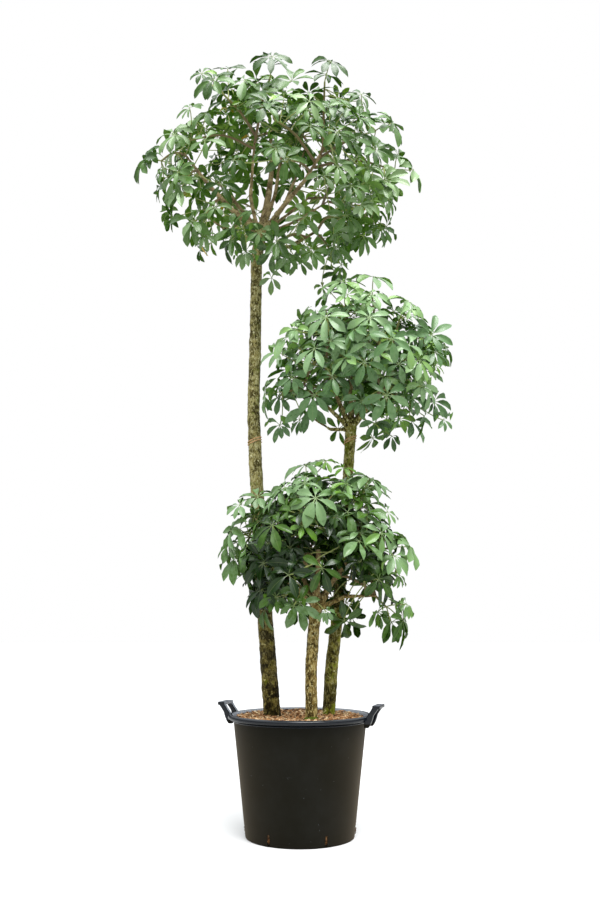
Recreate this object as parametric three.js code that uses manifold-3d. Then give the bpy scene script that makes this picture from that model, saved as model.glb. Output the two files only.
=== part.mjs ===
// Potted umbrella plant: three bare trunks in a black nursery pot, each with a ball-shaped crown
// of umbrella leaves. Millimetres, +Z up. The origin is the centre of the pot's underside, and
// the plant's front faces -Y.

import * as THREE from 'three';
import { mergeVertices } from 'three/addons/utils/BufferGeometryUtils.js';
import Module from 'manifold-3d';

// ---------------------------------------------------------------- driving dimensions

const GAP = 0.3; // between pieces that rest against each other

// pot
const POT_HEIGHT = 400;
const BASE_RADIUS = 185;
const SHOULDER_RADIUS = 229; // wall just under the rim
const SHOULDER_HEIGHT = 368;
const RIM_RADIUS = 250;
const RIM_ROUND = 6; // the rolled rim's edges
const RIM_SKIRT = 18; // from the shoulder to the rim's upright side
const LIP = 5; // the bevel inside the rim
const WALL = 4;
const FLOOR = 6;
const POT_SIDES = 36;
const SLOT_COUNT = 6;
const SLOT_FROM_FRONT = -33; // degrees from the front, seen from above
const SLOT_WIDTH = 10;
const SLOT_HEIGHT = 36;
const HANDLE_TURN = -17; // degrees from +X
const HANDLE_REACH = 291; // outer edge of the grip from the pot's axis
const HANDLE_TOP = 436;
const GRIP_LENGTH = 84;
const GRIP_DEPTH = 26;
const GRIP_THICKNESS = 10;
const GRIP_ROUND = 4;
const POST_WIDTH = 15;
const POST_DEPTH = 13;
const HANDLE_SPLIT = 30; // how far below the rim's top the two posts part

// soil
const SOIL_EDGE_HEIGHT = 384;
const SOIL_CENTRE_HEIGHT = 389;
const SOIL_SIDES = 24;
const SOIL_RINGS = 5;
const CHIP_RELIEF = 3.5;
const CHIP_SEED = 11;
const TRUNK_FOOT = 250; // the height at which the trunks end inside the soil

// twine
const TWINE_WIDTH = 8; // two turns side by side
const TWINE_THICKNESS = 2.5;
const TWINE_SLANT = 0.35; // radians
const TWINE_SPAN = 120; // wider than the trunk it winds round
const TALL_TIE_HEIGHT = 1370;
const MIDDLE_TIE_HEIGHT = 1375;

// umbrella leaves
const FRONT_LEAFLETS = 7;
const BACK_LEAFLETS = 5;
const SIDE_LEAFLETS = [6, 5];
const LEAFLET_LENGTH = 108;
const LEAFLET_HALF_WIDTH = 0.17; // of its length, as are the next eight
const WIDEST_AT = 0.64;
const RIB_AT = 0.57;
const NOTCH_AT = 0.1; // how near the hub the leaflets part
const RIB_LIFT = 0.02;
const UMBRELLA_SLOPE = 0.04;
const UMBRELLA_CURL = 0.2;
const UMBRELLA_DRAW_IN = 0.1;
const WEIGHT_SAG = 0.08;
const LEAFLET_SHORTEST = 0.14;
const LEAFLET_SWAY = 0.16; // of the angle between leaflets
const RIB_THICKNESS = 1.8;
const HUB_THICKNESS = 2.6;

// stalks and stems
const STALK_RADIUS = 2;
const TIP_STALK = 70;
const SIDE_STALK = 125;
const STEM_RADII = [4.2, 4.8, 5.4]; // at its end, its middle and its root
const SHORTEST_STEM = 112;
const STEM_ARCH = 0.04; // of its length, as is the next
const STEM_ARCH_VARIES = 0.08;
const STEM_START = 0.35; // the share of its first half that may touch the limb it springs from
const STALK_LEAN = { loose: 1.1, alongStem: 0.35, outward: 0.35, up: 0.15 };
const STALK_VARIES = [0.75, 1.25]; // of its length
const STALK_ROOTS = [0.5, 0.92]; // along the stem
const LEAST_STALK_RISE = 0.3; // how far the stalk has to come from the blade's underside
const ROOT_SPAN = 30;

// how a whorl faces: a mix of these directions
const WHORL_LEAN = { outward: 0.75, up: 0.5, alongStalk: 0.45, front: 0.35, loose: 0.5 };
const WHORL_LEVEL = 0.4; // how much of the outward direction's height counts
const TIP_WHORL_SIZE = 1.06;
const SIDE_WHORL_SIZES = [0.88, 1.06];

// growth
const GROWTH_SEED = 7;
const TIP_LEAF_TRIES = 40;
const TIP_NUDGE = 4; // added to the tip's loose shift at each try
const TIP_SHRINK = 0.006;
const SIDE_LEAF_TRIES = 40;
const LEAF_CLEARANCE = 0.8;
const TRUNK_CLEARANCE = 2;
const LIMB_CLEARANCE = 1;
const STEM_CLEARANCE = 2;
const BACK_RISE = [-0.4, 1]; // from the lowest to the highest tip behind, of the crown's height
const BACK_FROM_SIDE = 20; // degrees, as are the next two
const BACK_STEP = 83;
const BACK_SPREAD = 140;
const BACK_REACH = 0.88; // of the crown's outline
const SPRING_SPAN = [0.3, 0.98]; // the stretch of a limb that stems spring from
const SPRING_STEP = 0.045;
const WIDEST_SPACING = 190; // beyond which two whorls count as well apart
const CROWN_SHELL = [0.72, 1.02]; // where the side whorls lie, from the centre to the outline
const STRAY_PENALTY = 400;

// ---------------------------------------------------------------- colours

const finish = (color, roughness) => new THREE.MeshStandardMaterial({ color, roughness, metalness: 0 });

const POT_PLASTIC = () => finish('#25251f', 0.5);
const BARK_MIX = () => finish('#8a5a3c', 0.95);
const TRUNK_BARK = () => finish('#6b5e3c', 0.9);
const TWINE = () => finish('#a8673a', 0.9);
const LEAF_GREENS = {
  top: () => finish('#4f7350', 0.4),
  middle: () => finish('#5f8a5e', 0.4),
  low: () => finish('#3f6a3a', 0.35),
};

// ---------------------------------------------------------------- trunks and woody limbs
// Each route runs from the soil, or from inside the trunk, to its end, with the bark's radius
// at the first and last point.

const TRUNKS = {
  tall: {
    sides: 8,
    route: [
      [-92, 0, TRUNK_FOOT], [-96, 0, 390], [-118, 10, 650], [-142, 20, 950], [-164, 25, 1280],
      [-173, 25, 1480], [-169, 20, 1800], [-167, 10, 2080], [-150, 0, 2210],
    ],
    radii: [28, 28, 26, 24, 22, 21, 20, 20, 22],
  },
  middle: {
    sides: 8,
    route: [
      [96, 28, TRUNK_FOOT], [101, 30, 390], [112, 45, 560], [133, 60, 720], [158, 60, 960],
      [178, 40, 1250], [188, 25, 1400], [191, 20, 1450],
    ],
    radii: [21, 21, 21, 19, 18, 17.5, 19, 20],
  },
  low: {
    sides: 8,
    route: [[38, -112, TRUNK_FOOT], [38, -110, 390], [38, -106, 560], [46, -102, 690], [60, -100, 790]],
    radii: [19, 19, 18, 18, 20],
  },
};

const LIMBS = {
  tall: [
    { route: [[-150, 0, 2180], [-250, -40, 2250], [-330, -80, 2320], [-440, -130, 2450]], radii: [14, 7] },
    { route: [[-165, 10, 2200], [-250, 50, 2330], [-330, 100, 2450]], radii: [13, 7] },
    { route: [[-165, 0, 2200], [-190, -40, 2310], [-180, -80, 2430], [-170, -110, 2540]], radii: [11, 6] },
    { route: [[-150, 0, 2190], [-120, 50, 2390], [-110, 80, 2540], [-120, 100, 2680]], radii: [19, 8] },
    { route: [[-145, 0, 2190], [-90, -40, 2350], [-70, -80, 2470]], radii: [12, 7] },
    { route: [[-145, 0, 2180], [-60, -60, 2270], [0, -100, 2320], [90, -180, 2440]], radii: [14, 7] },
    { route: [[-60, -60, 2270], [-10, -20, 2420], [30, 20, 2590]], radii: [9, 5] },
    { route: [[-145, 0, 2170], [0, 80, 2280], [120, 140, 2390]], radii: [10, 5] },
    { route: [[-155, 0, 2120], [-50, -30, 2110], [70, -80, 2160]], radii: [7, 4] },
    { route: [[-145, 10, 2190], [-60, 140, 2320], [40, 230, 2450]], radii: [12, 6] },
    { route: [[-160, 10, 2180], [-240, 150, 2320], [-290, 230, 2430]], radii: [12, 6] },
    { route: [[-160, 0, 2150], [-260, -30, 2170], [-350, -80, 2210]], radii: [8, 4] },
  ],
  middle: [
    { route: [[188, 20, 1420], [130, -50, 1530], [90, -110, 1620]], radii: [12, 6] },
    { route: [[188, 20, 1415], [80, -60, 1500], [10, -90, 1560]], radii: [9, 5] },
    { route: [[190, 20, 1420], [240, 50, 1510], [350, 80, 1590]], radii: [12, 6] },
    { route: [[190, 20, 1420], [190, 0, 1580], [190, -30, 1700]], radii: [14, 6] },
    { route: [[190, 20, 1415], [270, -60, 1510], [340, -110, 1590]], radii: [10, 5] },
    { route: [[190, 20, 1420], [150, 110, 1540], [120, 160, 1640]], radii: [10, 5] },
    { route: [[188, 20, 1412], [90, 0, 1415], [50, -20, 1445]], radii: [5, 3] },
  ],
  low: [
    { route: [[60, -100, 765], [40, -130, 870], [-20, -180, 970]], radii: [13, 6] },
    { route: [[60, -100, 765], [60, -140, 890], [62, -160, 955]], radii: [12, 10], bare: true },
    { route: [[60, -100, 760], [100, -105, 830], [150, -120, 900], [200, -130, 980]], radii: [14, 6] },
    { route: [[60, -100, 755], [140, -120, 795], [260, -140, 800]], radii: [8, 5] },
    { route: [[60, -100, 765], [0, -60, 880], [-70, -40, 960]], radii: [11, 5] },
    { route: [[60, -100, 765], [40, 0, 890], [40, 80, 990]], radii: [10, 5] },
    { route: [[60, -100, 755], [-30, -140, 840], [-120, -160, 890]], radii: [8, 4] },
  ],
};

const LIMB_SIDES = 6;

// ---------------------------------------------------------------- crowns
// Each leafy stem ends in an umbrella leaf at its tip. The tips at the front stand where the
// plant shows them, and a rule spreads the ones behind.

const CROWNS = {
  top: {
    trunk: 'tall',
    centre: [-95, 0, 2430],
    half: [470, 420, 400],
    sideLeaves: 36,
    backStems: 5,
    tips: [
      [-310, -330, 2620], [-100, -360, 2690], [110, -290, 2720], [350, -150, 2560],
      [-110, -420, 2460], [130, -370, 2390], [-470, -200, 2480], [-450, -240, 2290],
      [430, -90, 2400], [170, -200, 2160], [340, 60, 2240], [-390, -150, 2160],
      [-210, -190, 2110], [-50, -370, 2290], [160, 60, 2080], [-100, -110, 2060],
      [-600, -80, 2440],
    ],
  },
  middle: {
    trunk: 'middle',
    centre: [215, -20, 1655],
    half: [300, 280, 270],
    sideLeaves: 25,
    backStems: 3,
    tips: [
      [90, -260, 1750], [240, -290, 1740], [150, -190, 1910], [390, -170, 1840],
      [50, -250, 1640], [220, -290, 1580], [530, -90, 1700], [50, -190, 1490],
      [300, -230, 1480], [-130, 0, 1540], [460, 0, 1460], [270, 40, 1390],
      [270, -110, 1960],
    ],
  },
  low: {
    trunk: 'low',
    centre: [60, -100, 955],
    half: [270, 260, 260],
    sideLeaves: 23,
    backStems: 3,
    tips: [
      [50, -310, 1110], [240, -160, 1200], [20, -140, 1250], [-90, -310, 1020],
      [-240, -130, 1020], [-120, -270, 900], [70, -350, 880], [270, -260, 1000],
      [260, -230, 850], [0, -250, 770], [350, -120, 720], [380, -110, 970],
    ],
  },
};

// ---------------------------------------------------------------- solids

const wasm = await Module();
wasm.setup();

const UP = new THREE.Vector3(0, 0, 1);
const FRONT = new THREE.Vector3(0, -1, 0);
const DEGREE = Math.PI / 180;

function seededDraw(seed) {
  let state = seed;
  return () => {
    state = (state * 1664525 + 1013904223) % 4294967296;
    return state / 4294967296;
  };
}

function within([low, high], draw) {
  return THREE.MathUtils.lerp(low, high, draw());
}

function vector(point) {
  return new THREE.Vector3(...point);
}

function bareGeometry(geometry) {
  const bare = geometry.index ? geometry.toNonIndexed() : geometry.clone();
  bare.deleteAttribute('normal');
  bare.deleteAttribute('uv');
  return mergeVertices(bare, 1e-4);
}

function toSolid(geometry) {
  const merged = bareGeometry(geometry);
  const vertProperties = new Float32Array(merged.attributes.position.array);
  const triVerts = new Uint32Array(merged.index.array);
  return new wasm.Manifold(new wasm.Mesh({ numProp: 3, vertProperties, triVerts }));
}

function toGeometry(solid) {
  const mesh = solid.getMesh();
  const geometry = new THREE.BufferGeometry();
  geometry.setAttribute('position', new THREE.BufferAttribute(mesh.vertProperties, 3));
  geometry.setIndex(new THREE.BufferAttribute(mesh.triVerts, 1));
  return geometry;
}

function boxOf(geometry) {
  geometry.computeBoundingBox();
  return geometry.boundingBox;
}

function limbCurve(route) {
  return new THREE.CatmullRomCurve3(route.map(vector), false, 'centripetal');
}

// A fuller copy of a bar or a trunk is longer as well, at its first and its last ring.
function endSide(ring, steps) {
  if (ring === 0) {
    return -1;
  }
  return ring === steps ? 1 : 0;
}

// A round bar along a route: a many-sided cylinder whose rings are carried onto the curve.
function barGeometry(route, radii, sides, steps, grow = 0) {
  const curve = limbCurve(route);
  const frames = curve.computeFrenetFrames(steps, false);
  const geometry = bareGeometry(new THREE.CylinderGeometry(1, 1, 1, sides, steps));
  const place = geometry.attributes.position;
  for (let i = 0; i < place.count; i += 1) {
    const along = THREE.MathUtils.clamp(place.getY(i) + 0.5, 0, 1);
    const ring = Math.round(along * steps);
    const where = along * (radii.length - 1);
    const before = Math.min(Math.floor(where), radii.length - 2);
    const radius = THREE.MathUtils.lerp(radii[before], radii[before + 1], where - before) + grow;
    const centre = curve.getPointAt(along);
    centre.addScaledVector(frames.tangents[ring], grow * endSide(ring, steps));
    centre.addScaledVector(frames.normals[ring], place.getX(i) * radius);
    centre.addScaledVector(frames.binormals[ring], -place.getZ(i) * radius);
    place.setXYZ(i, centre.x, centre.y, centre.z);
  }
  return geometry;
}

function limbGeometry(limb, grow) {
  return barGeometry(limb.route, limb.radii, LIMB_SIDES, limb.route.length - 1, grow);
}

// A trunk's rings stay level at its own points, so that soil and twine fit round it.
function trunkGeometry(trunk, grow = 0) {
  const steps = trunk.route.length - 1;
  const geometry = bareGeometry(new THREE.CylinderGeometry(1, 1, 1, trunk.sides, steps));
  const place = geometry.attributes.position;
  for (let i = 0; i < place.count; i += 1) {
    const ring = Math.round((place.getY(i) + 0.5) * steps);
    const [x, y, z] = trunk.route[ring];
    const radius = trunk.radii[ring] + grow;
    const height = z + grow * endSide(ring, steps);
    place.setXYZ(i, x + place.getX(i) * radius, y - place.getZ(i) * radius, height);
  }
  return geometry;
}

// ---------------------------------------------------------------- pot

// The inside of the wall, at the middle of its flat sides, where it is nearest to the axis.
function insideRadius(height) {
  const [low, high] = [BASE_RADIUS - WALL, SHOULDER_RADIUS - WALL];
  const corner = THREE.MathUtils.mapLinear(height, FLOOR, POT_HEIGHT - LIP, low, high);
  return corner * Math.cos(Math.PI / POT_SIDES);
}

function lathe(profile, sides) {
  const points = profile.map(([radius, height]) => new THREE.Vector2(radius, height));
  const geometry = new THREE.LatheGeometry(points, sides);
  geometry.rotateX(Math.PI / 2);
  return geometry;
}

function potBody() {
  const inner = SHOULDER_RADIUS - WALL;
  return toSolid(lathe([
    [0, 0],
    [BASE_RADIUS - WALL, 0],
    [BASE_RADIUS, WALL],
    [SHOULDER_RADIUS, SHOULDER_HEIGHT],
    [RIM_RADIUS - RIM_ROUND, SHOULDER_HEIGHT + RIM_ROUND],
    [RIM_RADIUS, SHOULDER_HEIGHT + RIM_SKIRT],
    [RIM_RADIUS, POT_HEIGHT - RIM_ROUND],
    [RIM_RADIUS - RIM_ROUND, POT_HEIGHT],
    [inner + LIP, POT_HEIGHT],
    [inner, POT_HEIGHT - LIP],
    [BASE_RADIUS - WALL, FLOOR],
    [0, FLOOR],
  ], POT_SIDES));
}

// One handle on the +X side: two posts that lean outwards from the rim, and a flat grip on them.
function handle() {
  const outline = new THREE.Shape();
  const gripInner = HANDLE_REACH - GRIP_DEPTH;
  const gripUnderside = HANDLE_TOP - GRIP_THICKNESS;
  outline.moveTo(SHOULDER_RADIUS + 2 * WALL, SHOULDER_HEIGHT + 2 * WALL);
  outline.lineTo(RIM_RADIUS + 2, SHOULDER_HEIGHT - WALL);
  outline.lineTo(RIM_RADIUS + POST_DEPTH, SHOULDER_HEIGHT + RIM_SKIRT);
  outline.lineTo(HANDLE_REACH - GRIP_ROUND, gripUnderside - 2);
  outline.lineTo(HANDLE_REACH, HANDLE_TOP - GRIP_ROUND);
  outline.lineTo(HANDLE_REACH - GRIP_ROUND, HANDLE_TOP);
  outline.lineTo(gripInner + GRIP_ROUND, HANDLE_TOP);
  outline.lineTo(gripInner, HANDLE_TOP - GRIP_ROUND);
  outline.lineTo(gripInner + 2, gripUnderside - GRIP_ROUND);
  outline.lineTo(RIM_RADIUS - POST_DEPTH, POT_HEIGHT - GRIP_ROUND);
  const slab = new THREE.ExtrudeGeometry(outline, { depth: GRIP_LENGTH, bevelEnabled: false });
  slab.rotateX(Math.PI / 2);
  slab.translate(0, GRIP_LENGTH / 2, 0);

  // the finger gap goes right through above the rim, and splits the handle's foot in two below it
  const fingerWidth = GRIP_LENGTH - 2 * POST_WIDTH;
  const outside = new THREE.BoxGeometry(RIM_RADIUS, fingerWidth, gripUnderside - POT_HEIGHT + HANDLE_SPLIT);
  outside.translate(1.5 * RIM_RADIUS - 2 * WALL, 0, (gripUnderside + POT_HEIGHT - HANDLE_SPLIT) / 2);
  const above = new THREE.BoxGeometry(3 * GRIP_DEPTH, fingerWidth, gripUnderside - POT_HEIGHT);
  above.translate(gripInner, 0, (gripUnderside + POT_HEIGHT) / 2);
  return toSolid(slab).subtract(toSolid(outside)).subtract(toSolid(above));
}

function drainageSlots() {
  let slots = null;
  for (let k = 0; k < SLOT_COUNT; k += 1) {
    const slot = new THREE.BoxGeometry(6 * WALL, SLOT_WIDTH, SLOT_HEIGHT);
    slot.translate(BASE_RADIUS, 0, SLOT_HEIGHT / 2 + FLOOR - WALL);
    slot.rotateZ((SLOT_FROM_FRONT - 90 + (360 / SLOT_COUNT) * k) * DEGREE);
    const solid = toSolid(slot);
    slots = slots ? slots.add(solid) : solid;
  }
  return slots;
}

function pot() {
  const right = handle().rotate([0, 0, HANDLE_TURN]);
  const left = handle().rotate([0, 0, HANDLE_TURN + 180]);
  return potBody().add(right).add(left).subtract(drainageSlots());
}

// ---------------------------------------------------------------- soil

// The bark chips on top are a relief: each point of the surface stands up or down by a fixed draw.
function soil(trunkHoles) {
  const draw = seededDraw(CHIP_SEED);
  const floor = FLOOR + GAP;
  const edge = insideRadius(SOIL_EDGE_HEIGHT - LIP) - GAP;
  const profile = [[0, floor], [insideRadius(floor) - GAP, floor], [edge, SOIL_EDGE_HEIGHT - LIP]];
  for (let ring = SOIL_RINGS; ring > 0; ring -= 1) {
    const share = ring / SOIL_RINGS;
    const mound = THREE.MathUtils.lerp(SOIL_CENTRE_HEIGHT, SOIL_EDGE_HEIGHT, share * share);
    profile.push([edge * share, mound]);
  }
  profile.push([0, SOIL_CENTRE_HEIGHT]);
  const body = bareGeometry(lathe(profile, SOIL_SIDES));
  const place = body.attributes.position;
  for (let i = 0; i < place.count; i += 1) {
    const outside = Math.hypot(place.getX(i), place.getY(i)) > edge - 1;
    if (place.getZ(i) > SOIL_EDGE_HEIGHT - 1 && !outside) {
      place.setZ(i, place.getZ(i) + (2 * draw() - 1) * CHIP_RELIEF);
    }
  }
  return trunkHoles.reduce((left, hole) => left.subtract(hole), toSolid(body));
}

// ---------------------------------------------------------------- twine

// Two turns side by side: a slanting slice of a sleeve that fits round the trunk.
function twine(trunk, height) {
  const sleeve = toSolid(trunkGeometry(trunk, GAP + TWINE_THICKNESS))
    .subtract(toSolid(trunkGeometry(trunk, GAP)));
  const { x, y } = trunkCentre(trunk, height);
  const slab = new THREE.BoxGeometry(TWINE_SPAN, TWINE_SPAN, TWINE_WIDTH);
  slab.rotateY(-TWINE_SLANT);
  slab.translate(x, y, height);
  return sleeve.intersect(toSolid(slab));
}

function trunkCentre(trunk, height) {
  const above = trunk.route.findIndex((point) => point[2] >= height);
  const lower = vector(trunk.route[above - 1]);
  const upper = vector(trunk.route[above]);
  return lower.lerp(upper, (height - lower.z) / (upper.z - lower.z));
}

// ---------------------------------------------------------------- umbrella leaf

function rayAt(axis, angle) {
  const across = new THREE.Vector3().crossVectors(axis, Math.abs(axis.z) > 0.9 ? FRONT : UP).normalize();
  const along = new THREE.Vector3().crossVectors(axis, across);
  return across.multiplyScalar(Math.cos(angle)).addScaledVector(along, Math.sin(angle));
}

// A point of the blade: so far from the hub, so far to the side and so far off its surface.
function bladePoint(leaf, angle, distance, side, lift) {
  const { hub, axis, length } = leaf;
  const ray = rayAt(axis, angle);
  const edge = new THREE.Vector3().crossVectors(axis, ray);
  const share = distance / length;
  const droop = (UMBRELLA_SLOPE * share + UMBRELLA_CURL * share * share) * length;
  const point = hub.clone().addScaledVector(ray, distance * (1 - UMBRELLA_DRAW_IN * share));
  point.addScaledVector(edge, side).addScaledVector(axis, lift - droop);
  point.z -= WEIGHT_SAG * length * share * share;
  return point;
}

// The blade is one thin arched sheet with its leaflets cut nearly to the hub. Every leaflet has a
// raised rib, and top and bottom share its outline. A three-sided stalk runs on from the hub's
// underside through the points of leaf.stalk.
function leafGeometry(leaf, grow) {
  const { hub, axis, turn, count, length, sway, stalk } = leaf;
  const points = [];
  const faces = [];
  const keep = (point) => points.push(point) - 1;
  const hubTop = keep(hub.clone().addScaledVector(axis, HUB_THICKNESS / 2 + grow));
  const rib = RIB_THICKNESS / 2 + grow;
  const sector = (2 * Math.PI) / count;
  const notches = [];
  for (let k = 0; k < count; k += 1) {
    notches.push(keep(bladePoint(leaf, turn + (k - 0.5) * sector, NOTCH_AT * length, 0, 0)));
  }
  const undersideRim = [];
  for (let k = 0; k < count; k += 1) {
    const angle = turn + (k + LEAFLET_SWAY * (sway[k] - 0.5)) * sector;
    const own = length * (1 - LEAFLET_SHORTEST * sway[k + 1]);
    const half = LEAFLET_HALF_WIDTH * own + grow;
    const right = keep(bladePoint(leaf, angle, WIDEST_AT * own, -half, 0));
    const left = keep(bladePoint(leaf, angle, WIDEST_AT * own, half, 0));
    const tip = keep(bladePoint(leaf, angle, own + grow, 0, 0));
    const ribTop = keep(bladePoint(leaf, angle, RIB_AT * own, 0, RIB_LIFT * own + rib));
    const ribUnder = keep(bladePoint(leaf, angle, RIB_AT * own, 0, RIB_LIFT * own - rib));
    const near = notches[k];
    const far = notches[(k + 1) % count];
    faces.push([hubTop, near, right], [hubTop, right, ribTop]);
    faces.push([hubTop, ribTop, left], [hubTop, left, far]);
    faces.push([ribTop, right, tip], [ribTop, tip, left]);
    faces.push([ribUnder, tip, right], [ribUnder, left, tip]);
    undersideRim.push(near, right, ribUnder, left);
  }

  const heading = axis.clone().negate();
  const corners = [0, 1, 2].map((k) => rayAt(axis, turn - sector / 2 + (k * 2 * Math.PI) / 3));
  const underHub = hub.clone().addScaledVector(axis, -HUB_THICKNESS / 2 - grow);
  const stations = [{ point: underHub, radius: STALK_RADIUS }, ...stalk];
  const rings = stations.map(({ point, radius }, k) => {
    const before = stations[Math.max(k - 1, 0)].point;
    const after = stations[Math.min(k + 1, stations.length - 1)].point;
    const direction = k === 0 ? heading.clone() : after.clone().sub(before).normalize();
    const bend = new THREE.Quaternion().setFromUnitVectors(heading, direction);
    heading.copy(direction);
    corners.forEach((corner) => corner.applyQuaternion(bend));
    return corners.map((corner) => keep(point.clone().addScaledVector(corner, radius + grow)));
  });

  const collar = rings[0];
  const rim = undersideRim.length;
  for (let k = 0; k < rim; k += 1) {
    const next = (k + 1) % rim;
    const here = Math.floor((3 * k) / rim);
    const there = Math.floor((3 * next) / rim);
    faces.push([undersideRim[next], undersideRim[k], collar[here]]);
    if (here !== there) {
      faces.push([undersideRim[next], collar[here], collar[there]]);
    }
  }
  for (let ring = 1; ring < rings.length; ring += 1) {
    const [upper, lower] = [rings[ring - 1], rings[ring]];
    for (let k = 0; k < 3; k += 1) {
      const next = (k + 1) % 3;
      faces.push([upper[k], lower[k], lower[next]], [upper[k], lower[next], upper[next]]);
    }
  }
  const foot = rings[rings.length - 1];
  faces.push([foot[0], foot[2], foot[1]]);

  const geometry = new THREE.BufferGeometry();
  const places = points.flatMap((point) => point.toArray());
  geometry.setAttribute('position', new THREE.Float32BufferAttribute(places, 3));
  geometry.setIndex(faces.flat());
  return geometry;
}

// ---------------------------------------------------------------- keeping clear

// Guards are slightly fuller than the pieces, and later pieces stay clear of them.
const woodGuards = [];
const greenGuards = [];

function guardOf(geometry) {
  return { solid: toSolid(geometry), box: boxOf(geometry) };
}

function isClear(guard, others) {
  return others.every((other) => {
    if (!other.box.intersectsBox(guard.box)) {
      return true;
    }
    const shared = guard.solid.intersect(other.solid);
    const clear = shared.isEmpty();
    shared.delete();
    return clear;
  });
}

// A stalk may meet its own stem at its root, and nowhere else.
function meetsOnlyAtRoot(guard, stem) {
  const shared = guard.solid.intersect(stem.guard.solid);
  const box = shared.boundingBox();
  const span = shared.isEmpty() ? 0 : Math.max(...box.max.map((high, k) => high - box.min[k]));
  shared.delete();
  return span < ROOT_SPAN;
}

// ---------------------------------------------------------------- leafy stems
// A stem springs from a woody limb, bends once and ends in the stalk of its tip's leaf. More
// leaves stand on its sides on long stalks.

// How far out a point lies: 0 at the crown's centre and 1 on its outline.
function crownReach(crown, point) {
  const shares = point.toArray().map((value, k) => (value - crown.centre[k]) / crown.half[k]);
  return Math.hypot(...shares);
}

// Tips behind the crown's middle: a spiral from low to high over its far side.
function backTips(crown) {
  const tips = [];
  for (let k = 0; k < crown.backStems; k += 1) {
    const rise = THREE.MathUtils.lerp(...BACK_RISE, (k + 0.5) / crown.backStems);
    const level = Math.sqrt(1 - rise * rise);
    const turn = (BACK_FROM_SIDE + ((k * BACK_STEP) % BACK_SPREAD)) * DEGREE;
    const direction = [level * Math.cos(turn), level * Math.sin(turn), rise];
    tips.push(direction.map((value, axis) => crown.centre[axis] + value * crown.half[axis] * BACK_REACH));
  }
  return tips;
}

// The limbs' points that a stem can spring from, nearest to the tip first.
function springPoints(limbs, tip) {
  const points = [];
  for (const limb of limbs.filter((each) => !each.bare)) {
    const curve = limbCurve(limb.route);
    for (let along = SPRING_SPAN[0]; along < SPRING_SPAN[1]; along += SPRING_STEP) {
      points.push(curve.getPointAt(along));
    }
  }
  return points.sort((a, b) => a.distanceTo(tip) - b.distanceTo(tip));
}

// A point on the stem's middle line, from 0 where it springs from the limb to 1 at its end.
function insideStem(stem, along) {
  if (along < 0.5) {
    return stem.spring.clone().lerp(stem.middle, 2 * along);
  }
  return stem.middle.clone().lerp(stem.end, 2 * along - 1);
}

function growStem(crown, tipPoint, draw) {
  const tip = vector(tipPoint);
  const outward = tip.clone().sub(vector(crown.centre)).normalize();
  for (const spring of springPoints(LIMBS[crown.trunk], tip)) {
    const span = tip.distanceTo(spring);
    const heading = tip.clone().sub(spring).normalize().add(outward).normalize();
    const end = tip.clone().addScaledVector(heading, -TIP_STALK);
    const middle = spring.clone().lerp(end, 0.5);
    middle.z += span * (STEM_ARCH + STEM_ARCH_VARIES * draw());
    const free = spring.clone().lerp(middle, STEM_START);
    const [whole, freePart] = [spring, free].map((start) => {
      const route = [start, middle, end].map((point) => point.toArray());
      return guardOf(barGeometry(route, [STEM_RADII[2], STEM_RADII[0]], LIMB_SIDES, 2, STEM_CLEARANCE));
    });
    if (span > SHORTEST_STEM && isClear(freePart, woodGuards) && isClear(whole, greenGuards)) {
      greenGuards.push(whole);
      return { crown, tip, outward, heading, spring, middle, end, guard: whole, leaves: [] };
    }
  }
  throw new Error(`no clear way to the tip at ${tipPoint}`);
}

// Whorls face outwards and up, those at the front lean to the front, and none quite alike.
function leafAxis(crown, hub, root, draw) {
  const axis = hub.clone().sub(vector(crown.centre));
  axis.z *= WHORL_LEVEL;
  axis.normalize().multiplyScalar(WHORL_LEAN.outward).addScaledVector(UP, WHORL_LEAN.up);
  axis.addScaledVector(hub.clone().sub(root).normalize(), WHORL_LEAN.alongStalk);
  axis.addScaledVector(FRONT, hub.y < crown.centre[1] ? WHORL_LEAN.front : 0);
  return axis.add(looseVector(draw).multiplyScalar(WHORL_LEAN.loose)).normalize();
}

function looseVector(draw) {
  return new THREE.Vector3(draw() - 0.5, draw() - 0.5, draw() - 0.5);
}

function makeLeaf(crown, hub, root, count, size, draw) {
  const axis = leafAxis(crown, hub, root, draw);
  const turn = draw() * 2 * Math.PI;
  const sway = Array.from({ length: count + 1 }, () => draw());
  const stalk = [{ point: root, radius: STALK_RADIUS }];
  return { hub, axis, turn, count, length: LEAFLET_LENGTH * size, sway, stalk };
}

function tryLeaf(stem, leaf) {
  const rise = leaf.hub.clone().sub(leaf.stalk[0].point).normalize().dot(leaf.axis);
  if (rise < LEAST_STALK_RISE) {
    return false;
  }
  const guard = guardOf(leafGeometry(leaf, LEAF_CLEARANCE));
  const others = [...woodGuards, ...greenGuards.filter((other) => other !== stem.guard)];
  if (!meetsOnlyAtRoot(guard, stem) || !isClear(guard, others)) {
    return false;
  }
  greenGuards.push(guard);
  stem.leaves.push(leaf);
  return true;
}

// The whorl at the stem's tip, nudged a little further each time until nothing is in its way.
function growTipLeaf(stem, draw) {
  for (let k = 0; k < TIP_LEAF_TRIES; k += 1) {
    const hub = stem.tip.clone().add(looseVector(draw).multiplyScalar(TIP_NUDGE * k));
    const size = TIP_WHORL_SIZE * (1 - TIP_SHRINK * k);
    const leaf = makeLeaf(stem.crown, hub, stem.end, stem.leaflets, size, draw);
    if (tryLeaf(stem, leaf)) {
      const [end, middle, spring] = [stem.end, stem.middle, stem.spring];
      leaf.stalk = [end, middle, spring].map((point, ring) => ({ point, radius: STEM_RADII[ring] }));
      return;
    }
  }
  throw new Error(`no room for the leaf at ${stem.tip.toArray()}`);
}

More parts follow.
